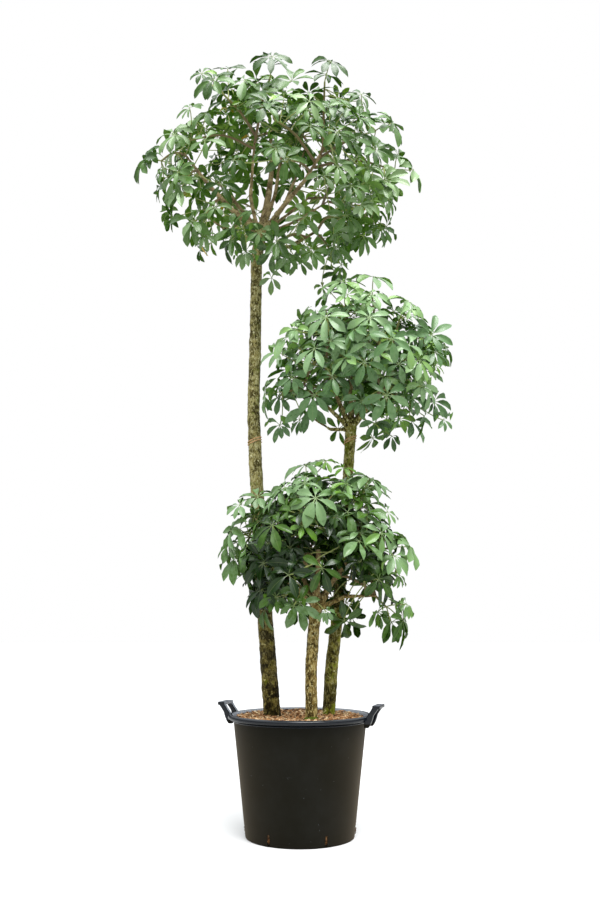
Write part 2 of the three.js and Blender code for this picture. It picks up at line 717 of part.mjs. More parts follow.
// A whorl on a long stalk from the stem's side. Of several drawn, the one furthest from the
// other whorls that is clear of everything is kept.
function growSideLeaf(stem, count, draw) {
  const drawn = [];
  for (let k = 0; k < SIDE_LEAF_TRIES; k += 1) {
    const root = insideStem(stem, within(STALK_ROOTS, draw));
    const stalk = looseVector(draw).normalize().multiplyScalar(STALK_LEAN.loose);
    stalk.addScaledVector(stem.heading, STALK_LEAN.alongStem);
    stalk.addScaledVector(stem.outward, STALK_LEAN.outward);
    stalk.addScaledVector(UP, STALK_LEAN.up).normalize();
    const hub = root.clone().addScaledVector(stalk, SIDE_STALK * within(STALK_VARIES, draw));
    const apart = Math.min(...hubs.map((other) => other.distanceTo(hub)));
    const reach = crownReach(stem.crown, hub);
    const astray = Math.max(0, reach - CROWN_SHELL[1]) + Math.max(0, CROWN_SHELL[0] - reach);
    drawn.push({ hub, root, worth: Math.min(apart, WIDEST_SPACING) - STRAY_PENALTY * astray });
  }
  drawn.sort((a, b) => b.worth - a.worth);
  for (const { hub, root } of drawn) {
    const leaf = makeLeaf(stem.crown, hub, root, count, within(SIDE_WHORL_SIZES, draw), draw);
    if (tryLeaf(stem, leaf)) {
      hubs.push(hub);
      return;
    }
  }
}

// The tip's leaf and its stem are cut to sit on the limb's bark, and the side leaves join them.
function stemSolid(stem, seat) {
  const [tipLeaf, ...sideLeaves] = stem.leaves.map((leaf) => toSolid(leafGeometry(leaf, 0)));
  const pieces = tipLeaf.subtract(seat).decompose();
  const rooted = pieces.reduce((best, piece) => (piece.volume() > best.volume() ? piece : best));
  return sideLeaves.reduce((whole, leaf) => whole.add(leaf), rooted);
}

// ---------------------------------------------------------------- the plant

function woodySolid(name, grow) {
  let wood = toSolid(trunkGeometry(TRUNKS[name], grow));
  for (const limb of LIMBS[name]) {
    wood = wood.add(toSolid(limbGeometry(limb, grow)));
  }
  return wood;
}

const model = new THREE.Group();

function addMesh(name, solid, material) {
  const mesh = new THREE.Mesh(toGeometry(solid), material);
  mesh.name = name;
  model.add(mesh);
}

const hubs = [];
const draw = seededDraw(GROWTH_SEED);
const seats = {};

const trunkHoles = Object.values(TRUNKS).map((trunk) => toSolid(trunkGeometry(trunk, GAP)));
addMesh('pot', pot(), POT_PLASTIC());
addMesh('soil', soil(trunkHoles), BARK_MIX());
for (const name of Object.keys(TRUNKS)) {
  addMesh(`trunk_${name}`, woodySolid(name, 0), TRUNK_BARK());
  seats[name] = woodySolid(name, GAP);
  woodGuards.push(guardOf(trunkGeometry(TRUNKS[name], TRUNK_CLEARANCE)));
  for (const limb of LIMBS[name]) {
    woodGuards.push(guardOf(limbGeometry(limb, LIMB_CLEARANCE)));
  }
}
addMesh('tie_tall', twine(TRUNKS.tall, TALL_TIE_HEIGHT), TWINE());
addMesh('tie_middle', twine(TRUNKS.middle, MIDDLE_TIE_HEIGHT), TWINE());

const stems = [];
for (const [crownName, crown] of Object.entries(CROWNS)) {
  const tips = [...crown.tips, ...backTips(crown)];
  tips.forEach((tip, k) => {
    const stem = growStem(crown, tip, draw);
    stem.name = `stem_${crownName}_${String(k + 1).padStart(2, '0')}`;
    stem.material = LEAF_GREENS[crownName];
    stem.leaflets = k < crown.tips.length ? FRONT_LEAFLETS : BACK_LEAFLETS;
    stems.push(stem);
  });
}
for (const stem of stems) {
  growTipLeaf(stem, draw);
  hubs.push(stem.tip);
}
for (const crown of Object.values(CROWNS)) {
  const own = stems.filter((stem) => stem.crown === crown);
  const behind = own.slice(crown.tips.length);
  const hosts = [...own, ...behind]; // the fewer stems behind carry more whorls each
  for (let order = 0; order < crown.sideLeaves; order += 1) {
    growSideLeaf(hosts[order % hosts.length], SIDE_LEAFLETS[order % SIDE_LEAFLETS.length], draw);
  }
}
for (const stem of stems) {
  addMesh(stem.name, stemSolid(stem, seats[stem.crown.trunk]), stem.material());
}

export default model;
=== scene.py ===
"""Potted umbrella plant: bark, umbrella leaves, pot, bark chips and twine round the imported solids.

Metres, +Z up, the plant's front faces -Y. Run as a script, it builds every piece in order.
"""

import itertools
import math
import random
from collections import namedtuple

import bpy
import numpy as np
from bpy.props import FloatProperty, FloatVectorProperty, IntProperty, PointerProperty
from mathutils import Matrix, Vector


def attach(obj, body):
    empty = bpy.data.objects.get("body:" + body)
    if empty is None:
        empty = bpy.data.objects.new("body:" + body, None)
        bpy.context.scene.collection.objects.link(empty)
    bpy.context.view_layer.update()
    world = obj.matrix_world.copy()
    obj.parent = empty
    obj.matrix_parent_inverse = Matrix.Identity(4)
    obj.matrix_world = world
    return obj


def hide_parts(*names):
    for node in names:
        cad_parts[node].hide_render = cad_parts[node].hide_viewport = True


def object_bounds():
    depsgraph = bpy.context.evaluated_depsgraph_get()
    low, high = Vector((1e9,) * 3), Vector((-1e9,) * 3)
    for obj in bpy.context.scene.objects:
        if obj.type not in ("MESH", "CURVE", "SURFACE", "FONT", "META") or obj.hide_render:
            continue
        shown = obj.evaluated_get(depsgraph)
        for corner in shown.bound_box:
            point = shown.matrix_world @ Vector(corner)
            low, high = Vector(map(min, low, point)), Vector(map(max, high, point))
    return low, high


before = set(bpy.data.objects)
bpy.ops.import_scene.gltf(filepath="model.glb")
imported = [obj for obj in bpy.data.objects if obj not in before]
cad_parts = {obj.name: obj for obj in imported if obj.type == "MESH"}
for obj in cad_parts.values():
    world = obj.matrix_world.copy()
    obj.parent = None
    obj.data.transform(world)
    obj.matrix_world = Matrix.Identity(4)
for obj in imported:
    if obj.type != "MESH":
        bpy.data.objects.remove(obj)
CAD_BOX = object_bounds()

bl_info = {
    "name": "Potted umbrella plant",
    "version": (1, 0, 0),
    "blender": (4, 5, 0),
    "location": "View3D > Sidebar > Umbrella plant",
    "description": "Grows a three-trunk umbrella plant in its nursery pot",
    "category": "Add Mesh",
}

MM = 0.001
CROWNS = ("top", "middle", "low")
TRUNKS = ("tall", "middle", "low")

# ---------------------------------------------------------------- sizes shared with the solids

BASE_RADIUS = 185 * MM
RIM_RADIUS = 250 * MM
HANDLE_TURN = math.radians(-17)
HANDLE_REACH = 291 * MM
HANDLE_TOP = 436 * MM
GRIP_LENGTH = 84 * MM
GRIP_DEPTH = 26 * MM
GRIP_THICKNESS = 11 * MM
POST_WIDTH = 15 * MM
SLOT_COUNT = 6
SLOT_FROM_FRONT = math.radians(-33)
SLOT_ANGLES = [SLOT_FROM_FRONT - math.pi / 2 + k * 2 * math.pi / SLOT_COUNT
               for k in range(SLOT_COUNT)]
SLOT_DEPTH = 24 * MM
SLOT_WIDTH = 10 * MM
SLOT_HEIGHT = 36 * MM
SLOT_MIDDLE = 20 * MM  # its height over the floor
SOIL_LEVEL = 387 * MM
SOIL_RADIUS = 221 * MM
TIE_HEIGHTS = {"tall": 1370 * MM, "middle": 1375 * MM}
TIE_SLANT = 0.35
RIB_AT = 0.57  # where a leaflet's rib point stands, along its length
STEM_RADII = (5.6 * MM, 4.8 * MM, 3.6 * MM)  # at its root, its middle and its end
CUT_LIMB_TOP = (62 * MM, -160 * MM, 955 * MM)  # the sawn limb in the low crown
CUT_LIMB_RADIUS = 12 * MM

# ---------------------------------------------------------------- camera, fitted to the pot's rim and base

CAMERA_PLACE = (0.0, -3.208, 0.706)
CAMERA_PITCH = math.radians(11.04)
CAMERA_LENS = 35.6  # on a 36 mm film, along the picture's taller side
PICTURE_MIDDLE = (300.3, 450)  # in the photograph's pixels
PICTURE_FOCUS = 890  # its focal length in those pixels


# ---------------------------------------------------------------- settings

def number(name, description, default, **more):
    return FloatProperty(name=name, description=description, default=default, **more)


def distance(name, description, default):
    return number(name, description, default, unit="LENGTH")


def whole(name, description, default, **more):
    return IntProperty(name=name, description=description, default=default, **more)


def tone(name, description, default):
    return FloatVectorProperty(name=name, description=description, default=default,
                               subtype="COLOR", size=4)


class PotSettings(bpy.types.PropertyGroup):
    sides: whole("Sides", "Flat sides round the pot", 144, min=24)
    grain: distance("Grain", "How finely the handles are meshed", 1.6 * MM)
    plastic: tone("Plastic", "The wall's colour", (0.0072, 0.0074, 0.0047, 1))
    rim: tone("Rim", "The rim's and the handles' colour", (0.007, 0.0095, 0.0135, 1))


class SoilSettings(bpy.types.PropertyGroup):
    chips: whole("Chips", "Bark chips on the soil", 3600, min=0)
    chip_length: distance("Chip length", "The longest chips", 15 * MM)
    bump: distance("Bump", "Unevenness of the soil", 5 * MM)
    chip: tone("Chip", "The chips' main colour", (0.54, 0.28, 0.12, 1))
    seed: whole("Seed", "Where the chips fall", 4)


class BarkSettings(bpy.types.PropertyGroup):
    voxel: distance("Grain", "How finely the bark is meshed", 3.2 * MM)
    knobs: distance("Knobs", "Height of the broad unevenness", 5 * MM)
    flakes: distance("Flakes", "Height of the fine flakes", 2.6 * MM)
    swell: distance("Swell", "How far the bark stands over the solid", 3 * MM)
    thin_limbs: distance("Thin limbs", "How far the limbs' bark lies under the solid", 1 * MM)
    moss: tone("Moss", "The moss's colour", (0.12, 0.145, 0.014, 1))
    lichen: tone("Lichen", "The lichen's colour", (0.62, 0.6, 0.34, 1))


class LitterSettings(bpy.types.PropertyGroup):
    moss_width: distance("Moss width", "Width of the moss at the low trunk's foot", 52 * MM)
    moss: tone("Moss", "The moss cushion's colour", (0.1, 0.15, 0.014, 1))
    roots: whole("Roots", "Root tips in each drainage slot", 7, min=1)
    root: tone("Root", "The root tips' colour", (0.12, 0.052, 0.016, 1))
    fallen_length: distance("Fallen leaf", "Length of the fallen leaflet", 34 * MM)
    seed: whole("Seed", "How the roots curl", 6)


class TwineSettings(bpy.types.PropertyGroup):
    thickness: distance("Thickness", "Diameter of the twine", 3.8 * MM)
    colour: tone("Twine", "The twine's colour", (0.62, 0.37, 0.19, 1))


class LeafSettings(bpy.types.PropertyGroup):
    width: number("Width", "A leaflet's half width, of its length", 0.17)
    fold: number("Fold", "How far the two halves fold up", 0.34)
    wave: number("Wave", "How far the edges wave, of the half width", 0.16)
    spacing: distance("Spacing", "Least distance between two whorls", 38 * MM)
    more_top: whole("Top", "Whorls added in the top crown", 175)
    more_middle: whole("Middle", "Whorls added in the middle crown", 150)
    more_low: whole("Low", "Whorls added in the low crown", 200)
    length: distance("Length", "Length of a full-grown leaflet", 94 * MM)
    seed: whole("Seed", "How the whorls are strewn", 3)


class StageSettings(bpy.types.PropertyGroup):
    floor: tone("Floor", "The floor's colour", (0.96, 0.96, 0.96, 1))
    sky: number("Sky", "Brightness of the studio's pale walls", 1.0)
    key: number("Key", "Strength of the large light overhead", 8.5)


# ---------------------------------------------------------------- small helpers

def let_go():
    if bpy.context.object and bpy.context.object.mode != "OBJECT":
        bpy.ops.object.mode_set(mode="OBJECT")
    bpy.ops.object.select_all(action="DESELECT")


def take(piece):
    let_go()
    piece.select_set(True)
    bpy.context.view_layer.objects.active = piece


def new_piece(name, add, **how):
    """Adds a primitive by its operator and names it."""
    let_go()
    add(**how)
    piece = bpy.context.object
    piece.name = name
    piece.data.name = name
    return piece


def copy_of_node(node, name):
    """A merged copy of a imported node, free to be reshaped."""
    piece = bpy.data.objects.new(name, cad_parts[node].data.copy())
    piece.data.name = name
    bpy.context.scene.collection.objects.link(piece)
    piece.data.materials.clear()
    take(piece)
    edit_all()
    bpy.ops.mesh.remove_doubles(threshold=0.01 * MM)
    bpy.ops.object.mode_set(mode="OBJECT")
    return piece


def edit_all():
    bpy.ops.object.mode_set(mode="EDIT")
    bpy.ops.mesh.select_all(action="SELECT")


def finish_by(piece, kind, **values):
    """Adds a modifier, sets its values and applies it."""
    take(piece)
    bpy.ops.object.modifier_add(type=kind)
    modifier = piece.modifiers[-1]
    for key, value in values.items():
        setattr(modifier, key, value)
    bpy.ops.object.modifier_apply(modifier=modifier.name)


def cut_across(levels):
    """Cuts the active piece all round at each height."""
    for level in levels:
        edit_all()
        bpy.ops.mesh.bisect(plane_co=(0, 0, level), plane_no=(0, 0, 1))
        bpy.ops.object.mode_set(mode="OBJECT")


def tube(name, sides, rows):
    """A closed tube of radius 1 to be bent: z runs from 0 at its root to 1 at its end."""
    piece = new_piece(name, bpy.ops.mesh.primitive_cylinder_add, vertices=sides, radius=1, depth=1,
                      location=(0, 0, 0.5))
    bpy.ops.object.transform_apply(location=True)
    cut_across(row / rows for row in range(1, rows))
    return piece


def drop(piece):
    mesh = piece.data
    bpy.data.objects.remove(piece)
    bpy.data.meshes.remove(mesh)


def smooth(piece, degrees):
    take(piece)
    bpy.ops.object.shade_smooth_by_angle(angle=math.radians(degrees))


def settle(piece, slot, *nodes):
    """Every finished piece rides on the one body and hides the solids that it stands for. The slot is not
    used.
    """
    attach(piece, "root")
    if nodes:
        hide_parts(*nodes)


def unit(vectors):
    return vectors / np.linalg.norm(vectors, axis=-1, keepdims=True)


def noise_texture(name, kind, scale):
    texture = bpy.data.textures.new(name, kind)
    texture.noise_scale = scale
    return texture


# ---------------------------------------------------------------- nodes of the materials

class Tree:
    """Writes a node tree: a material's, or a group's."""

    def __init__(self, tree):
        self.tree = tree

    def add(self, kind, settings=None, **inputs):
        node = self.tree.nodes.new(kind)
        for key, value in (settings or {}).items():
            setattr(node, key, value)
        for key, value in inputs.items():
            self.feed(node.inputs[key.replace("_", " ")], value)
        return node

    def feed(self, socket, value):
        if isinstance(value, bpy.types.NodeSocket):
            self.tree.links.new(value, socket)
        else:
            socket.default_value = value

    def mix(self, factor, one, two, blend="MIX"):
        node = self.tree.nodes.new("ShaderNodeMix")
        node.data_type = "RGBA"
        node.blend_type = blend
        for place, value in ((0, factor), (6, one), (7, two)):
            self.feed(node.inputs[place], value)
        return node.outputs[2]

    def sum(self, operation, one, two=0.0, three=0.0):
        """Any operation on up to three numbers."""
        node = self.tree.nodes.new("ShaderNodeMath")
        node.operation = operation
        for place, value in enumerate((one, two, three)):
            self.feed(node.inputs[place], value)
        return node.outputs[0]

    def step(self, value, low, high, first=0.0, last=1.0):
        """Runs softly from first to last while the value goes from low to high."""
        node = self.add("ShaderNodeMapRange", {"interpolation_type": "SMOOTHSTEP"}, Value=value)
        for place, number in ((1, low), (2, high), (3, first), (4, last)):
            node.inputs[place].default_value = number
        return node.outputs[0]

    def noise(self, where, scale, detail=3.0, roughness=0.55):
        node = self.add("ShaderNodeTexNoise", None, Vector=where, Scale=scale, Detail=detail,
                        Roughness=roughness)
        return node.outputs["Fac"]

    def cells(self, where, scale):
        return self.add("ShaderNodeTexVoronoi", None, Vector=where, Scale=scale).outputs["Distance"]

    def spot(self):
        """The place on the piece, in the frame's metres."""
        return self.add("ShaderNodeTexCoord").outputs["Object"]

    def part(self, vector, which):
        """One of a vector's three numbers."""
        return self.add("ShaderNodeSeparateXYZ", None, Vector=vector).outputs[which]


COLOUR, VALUE, VECTOR = "NodeSocketColor", "NodeSocketFloat", "NodeSocketVector"
PATTERN_OUTPUTS = {"Color": COLOUR, "Roughness": VALUE, "Height": VALUE}


def new_group(name, inputs):
    """An empty shader group with its named inputs and the outputs that every pattern has."""
    group = bpy.data.node_groups.new(name, "ShaderNodeTree")
    for in_out, sockets in (("INPUT", inputs), ("OUTPUT", PATTERN_OUTPUTS)):
        for label, kind in sockets.items():
            group.interface.new_socket(name=label, in_out=in_out, socket_type=kind)
    tree = Tree(group)
    return tree, tree.add("NodeGroupInput").outputs, tree.add("NodeGroupOutput").inputs


def leaf_pattern(name):
    """The blade's colour from dark to yellow, its midrib, its side veins and its pale foot."""
    tree, given, out = new_group(name, {
        "Place": VECTOR, "Tint": VALUE, "Dark": COLOUR, "Fresh": COLOUR, "Light": COLOUR,
        "Young": COLOUR, "Yellow": COLOUR, "Vein": COLOUR, "Vein Strength": VALUE,
    })
    across = tree.sum("ABSOLUTE", tree.sum("SUBTRACT", tree.part(given["Place"], 0), 0.5))
    along = tree.part(given["Place"], 1)
    patches = tree.noise(tree.spot(), 55.0)
    tint = tree.sum("ADD", given["Tint"], tree.sum("MULTIPLY_ADD", patches, 0.3, -0.15))
    colour = tree.mix(tree.step(tint, 0.0, 0.25), given["Dark"], given["Fresh"])
    colour = tree.mix(tree.step(tint, 0.25, 0.5), colour, given["Light"])
    colour = tree.mix(tree.step(tint, 0.5, 0.85), colour, given["Young"])
    colour = tree.mix(tree.step(tint, 1.1, 1.3), colour, given["Yellow"])
    slant = tree.sum("MULTIPLY_ADD", across, -0.55, along)
    ripple = tree.sum("SINE", tree.sum("MULTIPLY", slant, 62.0))
    side_veins = tree.step(ripple, 0.86, 1.0, 0.0, 0.25)
    midrib = tree.step(across, 0.01, 0.04, 1.0, 0.0)
    foot = tree.step(along, 0.1, 0.22, 1.8, 0.0)
    veins = tree.sum("MAXIMUM", tree.sum("MAXIMUM", side_veins, midrib), foot)
    veins = tree.sum("MULTIPLY", veins, given["Vein Strength"])
    tree.feed(out["Color"], tree.mix(veins, colour, given["Vein"]))
    tree.feed(out["Roughness"], tree.sum("MULTIPLY_ADD", patches, 0.35, 0.13))
    bulge = tree.sum("MULTIPLY", tree.sum("ABSOLUTE", ripple), 0.5)
    tree.feed(out["Height"], tree.sum("SUBTRACT", bulge, veins))
    return tree.tree


def bark_pattern(name):
    """Flaky bark with dark cracks, pale shreds, moss and lichen in patches, and smooth limbs."""
    tree, given, out = new_group(name, {
        "Bark": COLOUR, "Other Bark": COLOUR, "Shreds": COLOUR, "Moss": COLOUR, "Lichen": COLOUR,
        "Moss Amount": VALUE, "Lichen Amount": VALUE, "Scale": VALUE, "Limbs From": VALUE,
        "Foot Shade": COLOUR, "Foot Light": COLOUR, "Limb": COLOUR,
    })
    spot = tree.spot()

    def noise(scale, detail, roughness, where=spot):
        scale = tree.sum("MULTIPLY", given["Scale"], scale)
        return tree.noise(where, scale, detail, roughness)

    leans = []
    for lean in (0.75, -0.7):
        leant = tree.add("ShaderNodeMapping", None, Vector=spot, Rotation=(0.3, lean, lean),
                         Scale=(1, 1, 0.42))
        leans.append(noise(185.0, 2.0, 0.6, leant.outputs[0]))
    fine = tree.sum("MAXIMUM", *leans)
    gaps = tree.sum("MINIMUM", *leans)
    medium = noise(34.0, 5.0, 0.72)
    broad = noise(8.0, 2.0, 0.5)
    patch = noise(21.0, 4.0, 0.65)
    colour = tree.mix(tree.step(broad, 0.38, 0.62), given["Bark"], given["Other Bark"])
    shade = tree.mix(tree.step(medium, 0.38, 0.62), (0.36, 0.33, 0.24, 1), (1.6, 1.56, 1.42, 1))
    colour = tree.mix(1.0, colour, shade, "MULTIPLY")

    flecks = tree.step(tree.sum("MULTIPLY_ADD", medium, 0.3, fine), 0.7, 0.8)
    colour = tree.mix(tree.sum("MULTIPLY", flecks, 0.9), colour, given["Shreds"])
    cracks = tree.step(tree.sum("MULTIPLY_ADD", medium, 0.25, gaps), 0.54, 0.44)
    colour = tree.mix(tree.sum("MULTIPLY", cracks, 0.9), colour, (0.014, 0.01, 0.002, 1))

    moss_here = tree.sum("ADD", tree.sum("MULTIPLY_ADD", fine, 0.35, patch), given["Moss Amount"])
    moss_shade = tree.mix(tree.step(fine, 0.35, 0.65), (0.45, 0.42, 0.4, 1), (1.4, 1.35, 1.2, 1))
    moss = tree.mix(1.0, given["Moss"], moss_shade, "MULTIPLY")
    colour = tree.mix(tree.step(moss_here, 0.8, 0.95), colour, moss)
    pale = tree.sum("ADD", noise(95.0, 2.0, 0.5), given["Lichen Amount"])
    colour = tree.mix(tree.step(pale, 1.06, 1.12), colour, given["Lichen"])

    height = tree.part(spot, 2)
    foot = tree.mix(tree.step(patch, 0.46, 0.61), given["Foot Shade"], given["Foot Light"])
    foot = tree.mix(tree.step(height, 0.38, 1.3), foot, (1, 1, 1, 1))
    colour = tree.mix(1.0, colour, foot, "MULTIPLY")

    warp = tree.noise(spot, 60.0, 2.0, 0.5)
    young = tree.sum("SUBTRACT", tree.sum("MULTIPLY_ADD", warp, 0.1, height), given["Limbs From"])
    young = tree.step(young, 0.0, 0.12, 0.0, 0.85)
    limb_shade = tree.mix(tree.step(medium, 0.36, 0.64), (0.4, 0.36, 0.3, 1), (1.45, 1.4, 1.3, 1))
    rings = tree.sum("MULTIPLY_ADD", warp, 9.0, tree.sum("MULTIPLY", height, 210.0))
    rings = tree.step(tree.sum("SINE", rings), 0.75, 1.0)
    limb_shade = tree.mix(tree.sum("MULTIPLY", rings, 0.4), limb_shade, (0.45, 0.4, 0.35, 1))
    limb = tree.mix(1.0, given["Limb"], limb_shade, "MULTIPLY")
    tree.feed(out["Color"], tree.mix(young, colour, limb))
    tree.feed(out["Roughness"], tree.sum("MULTIPLY_ADD", fine, 0.2, 0.72))
    relief = tree.sum("ADD", fine, tree.sum("MULTIPLY", medium, 0.8))
    smoothed = tree.sum("MULTIPLY_ADD", young, -0.8, 1.0)
    tree.feed(out["Height"], tree.sum("MULTIPLY", relief, smoothed))
    return tree.tree


def dust_pattern(name):
    """Moulded plastic: faint dust, pale specks and scuffs; upward faces paler in patches, partly rubbed
    and partly painted highlight; the rim's inner side paler as a painted reflection; and pale handle tops.
    """
    tree, given, out = new_group(name, {
        "Plastic": COLOUR, "Dust": COLOUR, "Dust Amount": VALUE, "Wear And Highlight": VALUE, "Matt": VALUE,
    })
    spot = tree.spot()
    patches = tree.noise(spot, 7.0, 5.0, 0.65)
    dust = tree.sum("MULTIPLY", tree.step(patches, 0.35, 0.75), given["Dust Amount"])
    specks = tree.step(tree.cells(spot, 62.0), 0.035, 0.055, 1.0, 0.0)
    sparse = tree.step(tree.noise(spot, 31.0, 1.0), 0.56, 0.6)
    specks = tree.sum("MULTIPLY", tree.sum("MULTIPLY", specks, sparse), 0.5)
    stretched = tree.add("ShaderNodeMapping", None, Vector=spot, Scale=(1.0, 1.0, 9.0)).outputs[0]
    scuffs = tree.step(tree.noise(stretched, 9.0, 4.0, 0.8), 0.68, 0.8, 0.0, 0.12)

    normal = tree.add("ShaderNodeNewGeometry").outputs["Normal"]
    upwards = tree.part(normal, 2)
    # rubbed and painted highlight: the upward faces turn the pale blue-grey in patches
    worn_and_lit_tops = tree.sum("MULTIPLY", tree.step(upwards, 0.72, 1.0), tree.step(patches, 0.2, 0.6))
    worn_and_lit_tops = tree.sum("MULTIPLY", worn_and_lit_tops, given["Wear And Highlight"])
    outward = tree.add("ShaderNodeVectorMath", {"operation": "DOT_PRODUCT"})
    flat = tree.add("ShaderNodeVectorMath", {"operation": "MULTIPLY"})
    for node, one, two in ((flat, spot, (1.0, 1.0, 0.0)), (outward, flat.outputs["Vector"], normal)):
        tree.feed(node.inputs[0], one)
        tree.feed(node.inputs[1], two)
    # painted reflection: faces that look in towards the pot's middle, the rim's inner side, turn the pale
    # blue-grey as if they mirrored the bright studio
    inside = tree.sum("MULTIPLY", tree.step(outward.outputs["Value"], -0.05, -0.14), 0.9)
    # the handles' tops turn pale as well
    high = tree.step(tree.part(spot, 2), 0.424, 0.434)
    pale_grip_tops = tree.sum("MULTIPLY", high, tree.step(upwards, 0.5, 0.95))
    inside = tree.sum("MAXIMUM", inside, tree.sum("MULTIPLY", pale_grip_tops, 0.5))
    inside = tree.sum("MULTIPLY", inside, tree.step(given["Wear And Highlight"], 0.0, 0.05))
    worn_and_lit_tops = tree.sum("MAXIMUM", worn_and_lit_tops, inside)

    marks = tree.sum("MAXIMUM", tree.sum("MAXIMUM", dust, worn_and_lit_tops), tree.sum("MAXIMUM", specks, scuffs))
    tree.feed(out["Color"], tree.mix(marks, given["Plastic"], given["Dust"]))
    tree.feed(out["Roughness"], tree.sum("MULTIPLY_ADD", patches, 0.2, given["Matt"]))
    tree.feed(out["Height"], tree.noise(spot, 420.0, 2.0, 0.5))
    return tree.tree


def chip_pattern(name):
    """A fine grain in three tones, for bark chips, moss, roots and twine: Tint picks the tone."""
    tree, given, out = new_group(name, {
        "Tint": VALUE, "Dark": COLOUR, "Chip": COLOUR, "Pale": COLOUR,
    })
    grain = tree.noise(tree.spot(), 320.0, 4.0, 0.7)
    tint = tree.sum("ADD", given["Tint"], tree.sum("MULTIPLY_ADD", grain, 0.5, -0.25))
    colour = tree.mix(tree.step(tint, 0.0, 0.5), given["Dark"], given["Chip"])
    colour = tree.mix(tree.step(tint, 0.6, 1.05), colour, given["Pale"])
    tree.feed(out["Color"], colour)
    tree.feed(out["Roughness"], tree.sum("MULTIPLY_ADD", grain, 0.2, 0.72))
    tree.feed(out["Height"], grain)
    return tree.tree


OWN_INPUTS = {
    # what a pattern reads from the piece itself: the node, its setting and its output
    "Place": ("ShaderNodeUVMap", {"uv_map": "leaf"}, "UV"),
    "Tint": ("ShaderNodeAttribute", {"attribute_name": "tint"}, "Fac"),
}


def new_material(name, make_pattern, bump, values, **shader_values):
    """A material whose colour, roughness and bump come from a pattern's group.

    The group is built once. What values leaves out of OWN_INPUTS is read from the piece.
    """
    if name in bpy.data.materials:
        return bpy.data.materials[name]
    label = make_pattern.__name__.replace("_", " ").capitalize()
    pattern = bpy.data.node_groups.get(label) or make_pattern(label)
    material = bpy.data.materials.new(name)
    material.use_nodes = True
    tree = Tree(material.node_tree)
    shader = material.node_tree.nodes["Principled BSDF"]
    look = tree.add("ShaderNodeGroup", {"node_tree": pattern})
    for key, value in values.items():
        tree.feed(look.inputs[key], value)
    for key, (kind, settings, output) in OWN_INPUTS.items():
        if key in look.inputs and key not in values:
            tree.feed(look.inputs[key], tree.add(kind, settings).outputs[output])
    for key, value in shader_values.items():
        shader.inputs[key.replace("_", " ")].default_value = value
    tree.feed(shader.inputs["Base Color"], look.outputs["Color"])
    tree.feed(shader.inputs["Roughness"], look.outputs["Roughness"])
    ridge = tree.add("ShaderNodeBump", None, Height=look.outputs["Height"],
                     Strength=bump[0], Distance=bump[1])
    tree.feed(shader.inputs["Normal"], ridge.outputs["Normal"])
    material.diffuse_color = shader.inputs["Base Color"].default_value
    return material


# both: dark, fresh, light, young. Through the tint, the dark tone also serves as painted shade inside the
# crown, and the light grey-green tone as painted light and sky reflection on the outer leaves
LEAF_TONES = {
    "top": ((0.022, 0.07, 0.004), (0.094, 0.2, 0.04), (0.22, 0.345, 0.145), (0.19, 0.38, 0.03)),
    "middle": ((0.024, 0.075, 0.01), (0.105, 0.22, 0.075), (0.235, 0.385, 0.175), (0.22, 0.43, 0.05)),
    "low": ((0.007, 0.03, 0.001), (0.055, 0.135, 0.01), (0.18, 0.31, 0.13), (0.14, 0.31, 0.025)),
}
# the underside: paler and more vivid than the upper side, partly its real colour and partly painted light
# shining through the blade
UNDER_TONES_LIT_THROUGH = {
    "top": ((0.035, 0.11, 0.004), (0.11, 0.25, 0.018), (0.17, 0.32, 0.07), (0.24, 0.44, 0.04)),
    "middle": ((0.035, 0.105, 0.006), (0.11, 0.25, 0.03), (0.21, 0.38, 0.1), (0.26, 0.5, 0.06)),
    "low": ((0.015, 0.05, 0.001), (0.075, 0.17, 0.01), (0.18, 0.33, 0.08), (0.25, 0.45, 0.03)),
}
LEAF_GLOSS = {"top": 0.5, "middle": 0.5, "low": 0.45}
UNDER_GLOSS = 0.15
LEAF_VEINS = 0.2
UNDER_VEINS = 0.25
YELLOW_LEAF = (0.6, 0.42, 0.03, 1)
PALE_VEIN = (0.34, 0.42, 0.17, 1)


def leaf_materials(crown):
    """The blade's upper side, its paler underside, whose more vivid tones are partly painted light shining
    through the blade, and its stalk.
    """
    sides = {
        "upper": (LEAF_TONES[crown], LEAF_VEINS, LEAF_GLOSS[crown]),
        "under": (UNDER_TONES_LIT_THROUGH[crown], UNDER_VEINS, UNDER_GLOSS),
    }
    made = []
    for side, (tones, veins, gloss) in sides.items():
        names = ("Dark", "Fresh", "Light", "Young")
        values = {name: shade + (1,) for name, shade in zip(names, tones)}
        values |= {"Yellow": YELLOW_LEAF, "Vein": PALE_VEIN, "Vein Strength": veins}
        made.append(new_material(f"leaf_{crown}_{side}", leaf_pattern, (0.25, 0.6 * MM), values,
                                 Specular_IOR_Level=gloss))
    return made + [stalk_material()]


def stalk_material():
    """Brown and barky at the root, where the tint is 0, and green towards the end."""
    values = {
        "Dark": (0.22, 0.15, 0.08, 1), "Fresh": (0.22, 0.17, 0.075, 1), "Light": (0.22, 0.19, 0.07, 1),
        "Young": (0.36, 0.42, 0.13, 1), "Yellow": (0.45, 0.42, 0.16, 1),
        "Vein": (0.2, 0.16, 0.08, 1), "Vein Strength": 0.0,
    }
    return new_material("stalk", leaf_pattern, (0.2, 0.5 * MM), values, Specular_IOR_Level=0.35)


# ---------------------------------------------------------------- reading the leafy stems

Leaflet = namedtuple("Leaflet", "rib tip side")
Whorl = namedtuple("Whorl", "hub axis leaflets foot tint")
Stem = namedtuple("Stem", "name line whorls")

HUB_NEIGHBOURS = (20, 24, 28)  # a hub meets four points of each of its 5, 6 or 7 leaflets
NOTCH_REACH = 25 * MM  # the points between two leaflets lie nearer the hub than this


